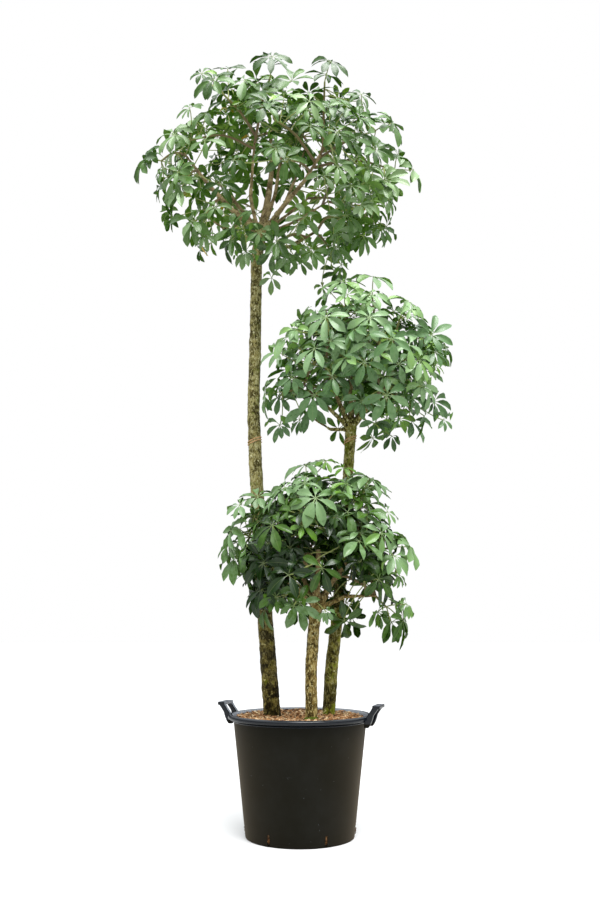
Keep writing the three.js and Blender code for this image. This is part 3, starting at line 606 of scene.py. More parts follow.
def welded(mesh):
    """The mesh's places and triangles with its doubled corners merged."""
    places = np.empty(len(mesh.vertices) * 3)
    mesh.vertices.foreach_get("co", places)
    places, index = np.unique(np.round(places.reshape(-1, 3), 5), axis=0, return_inverse=True)
    corners = np.empty(len(mesh.polygons) * 3, dtype=int)
    mesh.polygons.foreach_get("vertices", corners)
    return places, index.reshape(-1)[corners].reshape(-1, 3)


def neighbours(triangles, count):
    near = [set() for _ in range(count)]
    for a, b, c in triangles:
        near[a] |= {b, c}
        near[b] |= {a, c}
        near[c] |= {a, b}
    return near


def whorl_at(hub, places, triangles, near):
    """Reads one umbrella leaf back from its hub: its leaflets in turn, and the stalk's far end."""
    round_hub = triangles[(triangles == hub).any(axis=1)]
    edges = places[round_hub]
    axis = unit(np.cross(edges[:, 1] - edges[:, 0], edges[:, 2] - edges[:, 0]).sum(axis=0))
    across = unit(np.cross(axis, (0, 0, 1) if abs(axis[2]) < 0.9 else (0, -1, 0)))
    along = np.cross(axis, across)
    rays = {k: places[k] - places[hub] for k in near[hub]}
    order = sorted(rays, key=lambda k: math.atan2(rays[k] @ along, rays[k] @ across))
    notches = [k for k, point in enumerate(order) if np.linalg.norm(rays[point]) < NOTCH_REACH]
    own = {hub} | set(order)
    leaflets = []
    for start in notches:
        one, rib, two = (order[(start + k) % len(order)] for k in (1, 2, 3))
        tip = (near[rib] - {hub, one, two}).pop()
        own.add(tip)
        side = places[two] - places[one]
        leaflets.append(Leaflet(places[rib], places[tip], side / np.linalg.norm(side)))
        own |= near[tip]
    collar = set().union(*(near[order[k]] for k in notches)) - own
    far = set().union(*(near[k] for k in collar)) - collar - own
    foot = places[list(far)].mean(axis=0)
    return Whorl(places[hub], axis, leaflets, foot, 0.0), own | collar


END_RING = 4.2 * MM
MIDDLE_RING = 4.8 * MM
RING_MISFIT = 0.06 * MM
INTO_LIMB = 6 * MM  # how far a stem goes on inside the limb it springs from


def ring_centres(points, places, radius):
    """Middles of the three-cornered rings of one radius."""
    spots = places[points]
    apart = np.linalg.norm(spots[:, None] - spots[None], axis=2)
    fits = np.abs(apart - radius * math.sqrt(3)) < RING_MISFIT
    found = []
    for one, two in zip(*np.nonzero(np.triu(fits))):
        for three in np.nonzero(fits[one] & fits[two])[0]:
            if three > two:
                found.append(spots[[one, two, three]].mean(axis=0))
    return found


def read_stem(name):
    """A leafy stem: its line from inside the limb to its end, and its umbrella leaves."""
    places, triangles = welded(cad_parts[name].data)
    near = neighbours(triangles, len(places))
    whorls, used = [], set()
    for hub in range(len(places)):
        if len(near[hub]) in HUB_NEIGHBOURS:
            whorl, own = whorl_at(hub, places, triangles, near)
            whorls.append(whorl)
            used |= own
    rest = [k for k in range(len(places)) if k not in used]
    end = ring_centres(rest, places, END_RING)[0]
    middle = ring_centres(rest, places, MIDDLE_RING)[0]
    way = unit(middle - end)
    seat = [k for k in rest if (places[k] - middle) @ way > MIDDLE_RING]
    root = places[seat].mean(axis=0)
    inside = root + unit(root - middle) * INTO_LIMB
    return Stem(name, np.array([inside, (root + middle) / 2, middle, (middle + end) / 2, end]), whorls)


# ---------------------------------------------------------------- growing more umbrella leaves

CROWN_SHAPES = {
    # centre, half size, of the outline that the leaves reach
    "top": (np.array([-90, -20, 2400]) * MM, np.array([490, 400, 420]) * MM),
    "middle": (np.array([215, -20, 1660]) * MM, np.array([335, 300, 295]) * MM),
    "low": (np.array([60, -100, 950]) * MM, np.array([300, 275, 285]) * MM),
}
UP = np.array([0.0, 0.0, 1.0])
FRONT = np.array([0.0, -1.0, 0.0])


def loose(draw):
    """A direction drawn evenly from all round."""
    height = draw.uniform(-1, 1)
    angle = draw.uniform(0, 2 * math.pi)
    flat = math.sqrt(1 - height * height)
    return np.array([flat * math.cos(angle), flat * math.sin(angle), height])


def hang(hub, rib, tip, length, sag):
    """The rib point and the tip of a leaflet, brought down by its weight and back to its length."""
    rib = rib - UP * length * sag * 0.3
    tip = tip - UP * length * sag
    rib = hub + unit(rib - hub) * RIB_AT * length
    return rib, rib + unit(tip - rib) * (1 - RIB_AT) * length


def umbrella(hub, axis, foot, size_of_leaf, tint, draw, droop=0.0):
    """An umbrella leaf of 5 to 8 leaflets that spread, curl down and hang."""
    across = unit(np.cross(axis, UP if abs(axis[2]) < 0.9 else FRONT))
    along = np.cross(axis, across)
    count = draw.choice((5, 6, 7, 7, 8))
    start = draw.uniform(0, 2 * math.pi)
    slope, curl = draw.uniform(-0.15, 0.4), draw.uniform(0.0, 0.28)
    weight = draw.uniform(0.0, 0.32) + droop
    leaflets = []
    for k in range(count):
        angle = start + (k + draw.uniform(-0.2, 0.2)) * 2 * math.pi / count
        ray = across * math.cos(angle) + along * math.sin(angle)
        length = size_of_leaf * draw.uniform(0.75, 1.08)
        tilt = slope + draw.uniform(-0.15, 0.15)
        rib = hub + length * RIB_AT * (ray + tilt * axis)
        tip = hub + length * (ray + (tilt - curl) * axis)
        rib, tip = hang(hub, rib, tip, length, weight * draw.uniform(0.6, 1.3))
        leaflets.append(Leaflet(rib, tip, np.cross(axis, ray)))
    return Whorl(hub, axis, leaflets, foot, tint)


def weathered(whorl, tint, draw):
    """A solid's umbrella leaf with leaflets of uneven length that hang a little."""
    leaflets = []
    scale = draw.uniform(0.82, 0.98)
    weight = draw.uniform(0.0, 0.2)
    for leaflet in whorl.leaflets:
        full = np.linalg.norm(leaflet.rib - whorl.hub) + np.linalg.norm(leaflet.tip - leaflet.rib)
        length = full * scale * draw.uniform(0.86, 1.03)
        if hides_cut_limb(whorl.hub, leaflet):
            length *= CUT_LIMB_LEAFLET
        rib = whorl.hub + (leaflet.rib - whorl.hub) * length / full
        tip = whorl.hub + (leaflet.tip - whorl.hub) * length / full
        rib, tip = hang(whorl.hub, rib, tip, length, weight * draw.uniform(0.5, 1.5))
        leaflets.append(leaflet._replace(rib=rib, tip=tip))
    return whorl._replace(leaflets=leaflets, tint=tint)


TINT_AND_SHADE_RULES = {
    # at the middle, added towards the inside as painted shade, added towards the right and the top as
    # painted light, and the share of young leaves
    "top": (0.33, -0.1, 0.08, -0.08, 0.08),
    "middle": (0.44, -0.4, 0.0, 0.12, 0.06),
    "low": (0.22, -0.55, 0.1, 0.3, 0.05),
}
TINT_SPREAD = 0.22
YOUNG_LIFT = 0.4  # how much lighter a young leaf is
GROWN_TINT = 0.55  # a full-grown leaf is at most this light


def leaf_tint(crown, hub, draw):
    """From dark through light to young green, by where in the crown the leaf grows: darker inside the
    crown as painted shade, and lighter or darker towards the right and the top as painted light.
    """
    centre, half = CROWN_SHAPES[crown]
    place = (hub - centre) / half
    inner = 1 - min(np.linalg.norm(place), 1)
    base, inside, right, top, young = TINT_AND_SHADE_RULES[crown]
    # painted shade: darker towards the crown's middle; painted light: changed towards the right and the
    # top
    tint = base + inside * inner + right * place[0] + top * place[2] + draw.gauss(0, TINT_SPREAD)
    return tint + YOUNG_LIFT if draw.random() < young + 0.3 * inner else tint


def line_points(line, count):
    """Evenly spread points of a bent line."""
    share = np.linspace(0, len(line) - 1, count)
    return np.array([[np.interp(s, range(len(line)), line[:, k]) for k in range(3)] for s in share])


BOX_SPARE = 8 * MM  # how far a tip may stand out of the solids' box


def inside_box(whorl):
    tips = np.array([leaflet.tip for leaflet in whorl.leaflets])
    low, high = np.array(CAD_BOX[0]), np.array(CAD_BOX[1])
    return bool(np.all(tips > low - BOX_SPARE) and np.all(tips < high + BOX_SPARE))


OPEN_PARTS = {
    # middle x and z, half width and half height of where the limbs show between the leaves
    "top": (-0.13, 2.33, 0.31, 0.23),
    "middle": (0.15, 1.47, 0.14, 0.09),
    "low": (0.09, 0.79, 0.17, 0.14),
}
OPEN_BEHIND = 0.0  # beyond this depth a few leaves fill the open part
LEFT_OPEN = 0.8  # the share of the leaves that stay out of it even there


def in_open_part(crown, hub, draw):
    x, z, wide, high = OPEN_PARTS[crown]
    outside = ((hub[0] - x) / wide) ** 2 + ((hub[2] - z) / high) ** 2 > 1
    return not outside and (hub[1] < OPEN_BEHIND or draw.random() < LEFT_OPEN)


SEEN_LEAVES = {
    # where the photograph shows an umbrella leaf: across and down in pixels, length in mm, tint,
    # droop
    "top": (
        (214, 85, 96, 0.12, 0), (327, 75, 82, 0.0, 0), (385, 124, 92, 0.2, 0.1),
        (374, 150, 90, 0.1, 0.2), (228, 69, 70, 0.05, 0), (202, 74, 62, 0.1, 0.1),
        (272, 66, 84, 0.0, 0), (268, 103, 80, 0.12, 0), (398, 155, 86, 0.2, 0.4),
        (386, 181, 96, 0.45, 0.4), (348, 217, 100, 0.15, 0.2), (381, 228, 92, 0.15, 0.7),
        (336, 247, 84, 0.15, 0.6), (336, 272, 72, 0.1, 0.4), (289, 256, 86, 0.25, 0.8),
        (277, 241, 84, 0.15, 0.4), (260, 232, 64, 0.3, 0.4), (193, 221, 96, 0.35, 0.7),
        (180, 187, 90, 0.45, 0.4), (179, 172, 76, 0.3, 0), (175, 135, 92, 0.4, 0.6),
        (151, 158, 66, 0.15, 0.3), (234, 160, 66, 0.1, 0), (276, 148, 78, 0.15, 0.3),
        (357, 117, 80, 0.2, 0.1), (310, 126, 74, 0.2, 0.2), (331, 107, 76, 0.1, 0.1),
        (337, 136, 88, 0.15, 0.3), (338, 166, 84, 0.5, 0.6), (216, 208, 62, 0.4, 0.2),
        (232, 240, 78, 0.15, 0.8), (300, 262, 74, 0.35, 0.6), (312, 252, 78, 0.3, 0.5),
        (246, 251, 70, 0.4, 1.4), (272, 278, 66, 0.55, 1.0), (323, 287, 54, 0.6, 0.8),
        (364, 236, 80, 0.2, 0.6), (362, 205, 76, 0.5, 0.4), (352, 186, 84, 0.2, 0.4),
        (165, 168, 60, 0.3, 0.6), (190, 108, 70, 0.3, 0.3), (205, 235, 72, 0.4, 0.8),
        (369, 168, 74, 0.35, 0.4), (372, 200, 76, 0.6, 0.6),
    ),
    "middle": (
        (348, 295, 66, 0.6, 0), (371, 294, 84, 0.55, 0.2), (329, 317, 84, 0.5, 0.2),
        (369, 320, 100, 0.5, 0.2), (317, 350, 92, 0.45, 0.3), (431, 335, 104, 0.25, 0.1),
        (366, 361, 90, 0.2, 0.1), (420, 360, 78, 0.62, 0.3), (333, 377, 84, 0.1, 0.3),
        (279, 352, 88, 0.5, 0.7), (280, 396, 92, 0.3, 0.3), (309, 407, 98, 0.25, 0.3),
        (280, 425, 72, 0.3, 0.7), (385, 393, 96, 0.3, 0.2), (362, 401, 72, 0.2, 0.5),
        (412, 421, 100, 0.35, 0.5), (434, 402, 84, 0.2, 0.3), (422, 386, 78, 0.55, 0.7),
        (376, 423, 62, 0.1, 0.6), (411, 310, 48, 0.62, 0.1), (373, 437, 74, 1.0, 1.4),
        (392, 436, 60, 0.1, 1.2), (436, 352, 80, 0.2, 0.9), (296, 330, 62, 0.6, 0.4),
        (450, 383, 46, 0.8, 0.6), (444, 420, 62, 0.3, 0.5), (300, 420, 60, 0.3, 0.6),
        (292, 378, 74, 0.25, 0.5),
    ),
    "low": (
        (240, 529, 96, 0.35, 0.2), (274, 526, 88, 0.15, 0.2), (318, 499, 96, 0.5, 0.3),
        (368, 488, 96, 0.5, 0.2), (306, 477, 72, 0.5, 0.1), (382, 534, 84, 0.62, 0.4),
        (402, 543, 76, 0.62, 0.6), (322, 570, 84, 0.1, 0.3), (289, 575, 96, -0.1, 0.4),
        (263, 565, 88, -0.1, 0.2), (237, 557, 96, 0.3, 1.3), (381, 581, 66, 0.1, 0.4),
        (395, 556, 84, 0.55, 1.2), (294, 606, 60, 0.35, 0.9), (407, 604, 62, 0.6, 1.4),
        (326, 611, 44, 0.5, 1.3), (378, 612, 64, 0.6, 1.2), (392, 622, 84, 0.2, 1.8),
        (326, 461, 56, 0.8, 0.2), (344, 468, 52, 0.8, 0.2), (262, 590, 84, -0.1, 0.9),
        (276, 597, 72, 0.2, 0.6), (240, 505, 72, 0.5, 0.3), (258, 497, 72, 0.4, 0.3),
        (285, 488, 70, 0.4, 0.3), (400, 575, 62, 0.7, 0.8), (356, 480, 60, 0.7, 0.2),
        (228, 545, 66, 0.3, 0.8), (388, 512, 66, 0.6, 0.4),
    ),
}
CUT_LIMB_ROOM = 9  # in pixels: how far leaves keep from the sawn limb
CUT_LIMB_LEAFLET = 0.45  # of its length is left of a solid's leaflet that would hide the limb
SEEN_GAP = 17  # in pixels: a solid's leaf this near takes the seen leaf's tint


def seen_at(across, down, centre, half):
    """Where the camera's ray through a pixel meets the crown, or passes it most closely."""
    rise = (PICTURE_MIDDLE[1] - down) / PICTURE_FOCUS
    sin, cos = math.sin(CAMERA_PITCH), math.cos(CAMERA_PITCH)
    ray = np.array([(across - PICTURE_MIDDLE[0]) / PICTURE_FOCUS, cos - rise * sin, sin + rise * cos])
    start, way = (np.array(CAMERA_PLACE) - centre) / half, ray / half
    far = -(start @ way) / (way @ way)
    spare = 1 - np.linalg.norm(start + far * way) ** 2
    if spare > 0:
        far -= math.sqrt(spare / (way @ way))
    return np.array(CAMERA_PLACE) + far * ray


def pixel_of(point):
    """Where the photograph shows a point, across and down."""
    sin, cos = math.sin(CAMERA_PITCH), math.cos(CAMERA_PITCH)
    way = point - np.array(CAMERA_PLACE)
    ahead = way[1] * cos + way[2] * sin
    across = PICTURE_MIDDLE[0] + PICTURE_FOCUS * way[0] / ahead
    return across, PICTURE_MIDDLE[1] - PICTURE_FOCUS * (way[2] * cos - way[1] * sin) / ahead


def hides_cut_limb(hub, leaflet):
    """Whether a leaflet hangs before the sawn limb of the low crown."""
    cut = pixel_of(np.array(CUT_LIMB_TOP) - UP * CUT_LIMB_RADIUS)
    rib, tip = leaflet.rib, leaflet.tip
    return any(point[1] < CUT_LIMB_TOP[1] and math.dist(pixel_of(point), cut) < CUT_LIMB_ROOM
               for point in (hub, (hub + rib) / 2, rib, (rib + tip) / 2, tip))


def seen_tint(crown, hub, tint):
    """The tint of the leaf that the photograph shows where this hub is seen, or else its own."""
    if hub[1] > CROWN_SHAPES[crown][0][1]:
        return tint
    across, down = pixel_of(hub)
    gap, found = min((math.hypot(row[0] - across, row[1] - down), row[3])
                     for row in SEEN_LEAVES[crown])
    return found if gap < SEEN_GAP else tint


TRIES = 80  # for each strewn leaf
LOWEST = -0.8  # no leaf is strewn where the way out of the crown points down more than this
STALK_REACH = (0.035, 0.34)  # the shortest and the longest way from a stem to a hub, in metres


def grow_more(crown, stems, wanted, settings, draw):
    """Strews umbrella leaves between the solids' own, each on the nearest green stem."""
    centre, half = CROWN_SHAPES[crown]
    hubs = [whorl.hub for stem in stems for whorl in stem.whorls]
    wood = [(k, point) for k, stem in enumerate(stems) for point in line_points(stem.line, 9)[2:]]
    owners = np.array([k for k, _ in wood])
    feet = np.array([point for _, point in wood])
    more = [[] for _ in stems]
    for across, down, length, tint, droop in SEEN_LEAVES[crown]:
        hub = seen_at(across, down, centre, half - 0.25 * length * MM)
        if min(np.linalg.norm(hub - other) for other in hubs) < 0.6 * settings.spacing:
            continue
        choice = int(np.argmin(np.linalg.norm(feet - hub, axis=1)))
        axis = unit(0.5 * unit(hub - centre) + 0.45 * UP + 0.75 * FRONT + 0.25 * loose(draw))
        whorl = umbrella(hub, axis, feet[choice], length * MM, tint, draw, droop)
        kept = [leaflet for leaflet in whorl.leaflets if not hides_cut_limb(hub, leaflet)]
        whorl = whorl._replace(leaflets=kept or whorl.leaflets)
        if inside_box(whorl):
            more[owners[choice]].append(whorl)
            hubs.append(hub)
    made = 0
    for _ in range(wanted * TRIES):
        if made == wanted:
            break
        out = loose(draw)
        if out[2] < LOWEST:
            continue
        reach = draw.uniform(0.12, 1.0) ** 0.4
        hub = centre + out * (half - settings.length * 0.4) * reach
        nearest = min(np.linalg.norm(hub - other) for other in hubs)
        if nearest < settings.spacing * draw.uniform(0.8, 1.7) or in_open_part(crown, hub, draw):
            continue
        gaps = np.linalg.norm(feet - hub, axis=1)
        beyond = (feet - centre) @ out > (hub - centre) @ out
        choice = int(np.argmin(gaps + 0.15 * beyond))
        if not STALK_REACH[0] < gaps[choice] < STALK_REACH[1]:
            continue
        foot = feet[choice]
        level = out * (1, 1, 0.4)
        axis = unit(0.75 * level + 0.75 * UP + 0.35 * unit(hub - foot) + 0.1 * FRONT
                    + 0.75 * loose(draw))
        tint = leaf_tint(crown, hub, draw)
        young = tint > 0.7 or draw.random() < 0.25
        length = settings.length * (draw.uniform(0.42, 0.75) if young else draw.uniform(0.74, 1.03))
        whorl = umbrella(hub, axis, foot, length, tint, draw)
        hidden = any(hides_cut_limb(hub, leaflet) for leaflet in whorl.leaflets)
        if inside_box(whorl) and not hidden:
            more[owners[choice]].append(whorl)
            hubs.append(hub)
            made += 1
    return more


# ---------------------------------------------------------------- leaflet, stalk and their copies

PROFILE_AT = (0, 0.08, 0.15, 0.24, 0.36, 0.5, 0.64, 0.78, 0.9, 1)
PROFILE_WIDTH = (0.08, 0.075, 0.1, 0.38, 0.7, 0.93, 1, 0.86, 0.5, 0.02)
LEAFLET_ROWS = (0, 0.14, 0.24, 0.38, 0.58, 0.78, 0.92, 1)
LEAFLET_THICKNESS = 0.8 * MM
YELLOW_ABOVE = 1.9  # metres: no leaflet is yellow below this height
YELLOW_SHARE = 0.009
YELLOW_LIFT = 0.9  # added to a yellow leaflet's tint
STALK_SIDES = 6
STALK_ROWS = 6
NO_ZERO = 1e-9  # keeps a slope from being zero
PETIOLE_RADII = (2.1 * MM, 1.7 * MM)
PETIOLE_TINTS = (0.7, 1.15)
STEM_TINTS = (0.0, 0.3, 0.7)


def leaflet_shape():
    """One leaflet as a flat closed sheet: x across, y along, and z -1 under and 0 above."""
    piece = new_piece("leaflet", bpy.ops.mesh.primitive_grid_add, size=2,
                      x_subdivisions=4, y_subdivisions=len(LEAFLET_ROWS) - 1)
    edit_all()
    bpy.ops.mesh.select_mode(type="VERT")
    bpy.ops.mesh.duplicate_move()
    bpy.ops.mesh.flip_normals()
    bpy.ops.object.mode_set(mode="OBJECT")
    for part in (*piece.data.polygons, *piece.data.edges):
        part.select = False
    for vertex in piece.data.vertices:
        inner = max(abs(vertex.co.x), abs(vertex.co.y)) < 0.999
        vertex.select = vertex.select and inner
    bpy.ops.object.mode_set(mode="EDIT")
    bpy.ops.transform.translate(value=(0, 0, -1))
    bpy.ops.mesh.select_all(action="SELECT")
    bpy.ops.mesh.remove_doubles(threshold=0.001)
    bpy.ops.object.mode_set(mode="OBJECT")
    if len(piece.data.edges) != 2 * len(piece.data.polygons):
        raise RuntimeError("the leaflet isn't closed")
    return piece


def stalk_shape():
    return tube("stalk", STALK_SIDES, STALK_ROWS)


def shape_arrays(piece):
    """The places and the faces of a shape that is copied many times."""
    places = np.array([vertex.co[:] for vertex in piece.data.vertices])
    faces = [tuple(face.vertices) for face in piece.data.polygons]
    above = [face.normal.z > 0 for face in piece.data.polygons]
    drop(piece)
    return places, faces, above


class Gathered:
    """Collects copies of shapes and makes one mesh of them."""

    def __init__(self):
        self.places, self.faces, self.slots, self.uvs, self.tints = [], [], [], [], []
        self.count = 0

    def take(self, places, faces, slots, uv, tints):
        """Takes copies of one shape: places, uv and tints have a row for each copy."""
        copies, points = places.shape[:2]
        self.places.append(places.reshape(-1, 3))
        self.uvs.append(np.tile(uv, (copies, 1)))
        self.tints.append(tints.reshape(-1))
        for copy in range(copies):
            start = self.count + copy * points
            self.faces += [tuple(start + k for k in face) for face in faces]
            self.slots += slots
        self.count += copies * points

    def piece(self, name, materials):
        mesh = bpy.data.meshes.new(name)
        mesh.from_pydata(np.concatenate(self.places).tolist(), [], self.faces)
        mesh.polygons.foreach_set("material_index", self.slots)
        corners = np.empty(len(mesh.loops), dtype=int)
        mesh.loops.foreach_get("vertex_index", corners)
        layer = mesh.uv_layers.new(name="leaf")
        layer.data.foreach_set("uv", np.concatenate(self.uvs)[corners].ravel())
        tint = mesh.attributes.new("tint", "FLOAT", "POINT")
        tint.data.foreach_set("value", np.concatenate(self.tints))
        for material in materials:
            mesh.materials.append(material)
        piece = bpy.data.objects.new(name, mesh)
        bpy.context.scene.collection.objects.link(piece)
        smooth(piece, 55)
        return piece


def add_leaflets(gathered, shape, whorls, settings, draw):
    """Bends the leaflet's shape along each leaflet's midline, folds it and waves its edges."""
    places, faces, above = shape
    rows = [(whorl, leaflet) for whorl in whorls for leaflet in whorl.leaflets]
    if not rows:
        return
    along = np.interp((places[:, 1] + 1) / 2, np.linspace(0, 1, len(LEAFLET_ROWS)), LEAFLET_ROWS)
    across = -places[:, 0]
    under = -places[:, 2]
    width = np.interp(along, PROFILE_AT, PROFILE_WIDTH)
    hub = np.array([whorl.hub for whorl, _ in rows])[:, None]
    rib = np.array([leaflet.rib for _, leaflet in rows])[:, None]
    tip = np.array([leaflet.tip for _, leaflet in rows])[:, None]
    side = np.array([leaflet.side for _, leaflet in rows])[:, None]
    c, v = RIB_AT, along[None, :, None]
    middle = (hub * (v - c) * (v - 1) / c + rib * v * (v - 1) / (c * (c - 1))
              + tip * v * (v - c) / (1 - c))
    slope = unit(hub * (2 * v - c - 1) / c + rib * (2 * v - 1) / (c * (c - 1))
                 + tip * (2 * v - c) / (1 - c))
    sideways = unit(side - slope * (side * slope).sum(axis=2, keepdims=True))
    upwards = np.cross(slope, sideways)
    count = len(rows)
    length = np.linalg.norm(rib - hub, axis=2) + np.linalg.norm(tip - rib, axis=2)

    def drawn(low, high):
        return np.array([draw.uniform(low, high) for _ in range(count)])[:, None]

    half = length * settings.width * drawn(0.86, 1.14) * width[None]
    twist = drawn(-0.8, 0.8) * along[None]
    turned = sideways * np.cos(twist)[..., None] + upwards * np.sin(twist)[..., None]
    raised = upwards * np.cos(twist)[..., None] - sideways * np.sin(twist)[..., None]
    fold = settings.fold * drawn(0.2, 1.6) * np.abs(across)[None] * half
    phase = drawn(0, 2 * math.pi)
    swing = np.sin(9 * along[None] + phase + 1.5 * across[None])
    wave = settings.wave * half * across[None] ** 2 * swing
    body = (1 - across[None] ** 2) * np.minimum(1, width[None] * 4) * under[None]
    lift = fold + wave - LEAFLET_THICKNESS * body
    bent = middle + turned * (across[None] * half)[..., None] + raised * lift[..., None]
    whorl_tint = np.array([whorl.tint for whorl, _ in rows])[:, None]
    yellow = np.array([draw.random() < YELLOW_SHARE and whorl.hub[2] > YELLOW_ABOVE
                       for whorl, _ in rows])[:, None]
    tint = whorl_tint + drawn(-0.09, 0.09) + YELLOW_LIFT * yellow
    tints = tint * np.ones_like(along)[None]
    uv = np.stack([(across + 1) / 2, along], axis=1)
    gathered.take(bent, faces, [0 if top else 1 for top in above], uv, tints)


def add_stalks(gathered, shape, paths, radii, tints):
    """Bends the stalk's shape along curves of four points, with radii and tints for both ends."""
    places, faces, _ = shape
    t = places[:, 2][None, :, None]
    a, b, c, d = (np.array(paths)[:, k][:, None] for k in range(4))
    middle = a * (1 - t) ** 3 + 3 * b * t * (1 - t) ** 2 + 3 * c * t ** 2 * (1 - t) + d * t ** 3
    slope = unit(3 * (b - a) * (1 - t) ** 2 + 6 * (c - b) * t * (1 - t) + 3 * (d - c) * t ** 2
                 + NO_ZERO)
    chord = unit(d - a)
    apart = np.cross(chord, UP)
    upright = np.linalg.norm(apart, axis=2, keepdims=True) < 0.05
    apart = np.where(upright, np.cross(chord, FRONT), apart)
    first = unit(apart - slope * (apart * slope).sum(axis=2, keepdims=True))
    second = np.cross(slope, first)
    radius = np.array(radii)
    radius = radius[:, :1] + (radius[:, 1:] - radius[:, :1]) * places[:, 2][None]
    ring = first * places[:, 0][None, :, None] + second * places[:, 1][None, :, None]
    tint = np.array(tints)
    tint = tint[:, :1] + (tint[:, 1:] - tint[:, :1]) * places[:, 2][None]
    uv = np.stack([np.full(len(places), 0.2), places[:, 2]], axis=1)
    gathered.take(middle + ring * radius[..., None], faces, [2] * len(faces), uv, tint)


def stem_paths(line):
    """Two curves through a stem's five points."""
    root, one, middle, two, end = line
    turn = unit(end - root)
    gap_one, gap_two = np.linalg.norm(middle - root) / 3, np.linalg.norm(end - middle) / 3
    first = (root, root + unit(one - root) * gap_one, middle - turn * gap_one, middle)
    last = (middle, middle + turn * gap_two, end - unit(end - two) * gap_two, end)
    return [first, last]


def petiole_path(whorl):
    """A leaf stalk that leaves the stem outwards, sags a little and meets the hub from below."""
    reach = whorl.hub - whorl.foot
    far = np.linalg.norm(reach)
    leave = unit(unit(reach) + 0.35 * UP)
    arrive = unit(unit(reach) + 0.9 * whorl.axis)
    return (whorl.foot, whorl.foot + leave * far * 0.33, whorl.hub - arrive * far * 0.33, whorl.hub)


class UMBRELLA_OT_leaves(bpy.types.Operator):
    """Grow every green stem with its stalks and umbrella leaves"""

    bl_idname = "umbrella.leaves"
    bl_label = "Leafy stems"

    def execute(self, context):
        settings = context.scene.umbrella_leaves
        draw = random.Random(settings.seed)
        leaflet, stalk = shape_arrays(leaflet_shape()), shape_arrays(stalk_shape())
        wanted = {"top": settings.more_top, "middle": settings.more_middle, "low": settings.more_low}
        for crown in CROWNS:
            names = sorted(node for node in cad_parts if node.startswith(f"stem_{crown}_"))
            stems = [read_stem(name) for name in names]
            if not stems:
                raise RuntimeError(f"the {crown} crown has no stems")
            more = grow_more(crown, stems, wanted[crown], settings, draw)
            materials = leaf_materials(crown)
            for stem, added in zip(stems, more):
                self.grow(stem, added, crown, leaflet, stalk, materials, settings, draw)
        return {"FINISHED"}

    def grow(self, stem, added, crown, leaflet, stalk, materials, settings, draw):
        gathered = Gathered()
        own = []
        for whorl in stem.whorls:
            tint = min(leaf_tint(crown, whorl.hub, draw), GROWN_TINT)
            own.append(weathered(whorl, seen_tint(crown, whorl.hub, tint), draw))
        whorls = own + added
        paths = stem_paths(stem.line)
        radii = [STEM_RADII[:2], STEM_RADII[1:]]
        tints = [STEM_TINTS[:2], STEM_TINTS[1:]]
        for whorl in whorls:
            paths.append(petiole_path(whorl))
            radii.append(PETIOLE_RADII)
            tints.append(PETIOLE_TINTS)
        add_stalks(gathered, stalk, paths, radii, tints)
        add_leaflets(gathered, leaflet, whorls, settings, draw)
        piece = gathered.piece(stem.name.replace("stem", "leafy_stem"), materials)
        settle(piece, f"green_{crown}", stem.name)


# ---------------------------------------------------------------- trunks

TrunkLook = namedtuple("TrunkLook", "bark other shreds moss lichen scale limbs_from "
                                    "foot_shade foot_light limb")
TRUNK_LOOKS = {
    # colours of the bark in its two kinds and of its shreds, amounts of moss and lichen, fineness
    # of the flakes, height where the limbs begin, what the foot's dark and light patches are
    # multiplied by, and the limbs' colour
    "tall": TrunkLook((0.215, 0.19, 0.075, 1), (0.165, 0.15, 0.055, 1), (0.46, 0.43, 0.22, 1),
                      0.04, 0.43, 1.0, 2.2,
                      (0.1, 0.08, 0.03, 1), (0.74, 0.66, 0.42, 1), (0.38, 0.3, 0.18, 1)),
    "middle": TrunkLook((0.2, 0.18, 0.045, 1), (0.15, 0.145, 0.028, 1), (0.62, 0.57, 0.27, 1),
                        0.1, 0.42, 1.0, 1.46,
                        (0.42, 0.41, 0.3, 1), (1.4, 1.4, 1.2, 1), (0.2, 0.155, 0.08, 1)),
    "low": TrunkLook((0.24, 0.175, 0.06, 1), (0.2, 0.15, 0.05, 1), (0.62, 0.53, 0.24, 1),
                     -0.08, 0.42, 1.0, 0.8,
                     (0.84, 0.8, 0.7, 1), (1.0, 0.96, 0.86, 1), (0.27, 0.205, 0.11, 1)),
}
PLAIN = {"Limbs From": 100.0, "Foot Shade": (1, 1, 1, 1), "Foot Light": (1, 1, 1, 1)}
LIMB_BLEND = 60 * MM  # the height over which a trunk turns into its limbs


class UMBRELLA_OT_trunks(bpy.types.Operator):
    """Grow the bark over each trunk and its woody limbs"""

    bl_idname = "umbrella.trunks"
    bl_label = "Trunks"

    def execute(self, context):
        settings = context.scene.umbrella_bark
        knobs = noise_texture("knobs", "CLOUDS", 0.05)
        flakes = noise_texture("flakes", "CLOUDS", 0.011)
        for trunk in TRUNKS:
            piece = copy_of_node(f"trunk_{trunk}", f"bark_{trunk}")
            finish_by(piece, "REMESH", mode="VOXEL", voxel_size=settings.voxel)
            finish_by(piece, "SMOOTH", factor=0.5, iterations=8)
            swell_trunk(piece, TRUNK_LOOKS[trunk].limbs_from, settings)
            for texture, strength in ((knobs, settings.knobs), (flakes, settings.flakes)):
                finish_by(piece, "DISPLACE", texture=texture, texture_coords="LOCAL",
                          strength=strength, mid_level=0.5)
            piece.data.materials.append(bark_material(trunk, settings))
            if trunk == "low":
                piece.data.materials.append(cut_wood_material())
                paint_cut_end(piece)
            smooth(piece, 75)
            settle(piece, "bark", f"trunk_{trunk}")
        return {"FINISHED"}


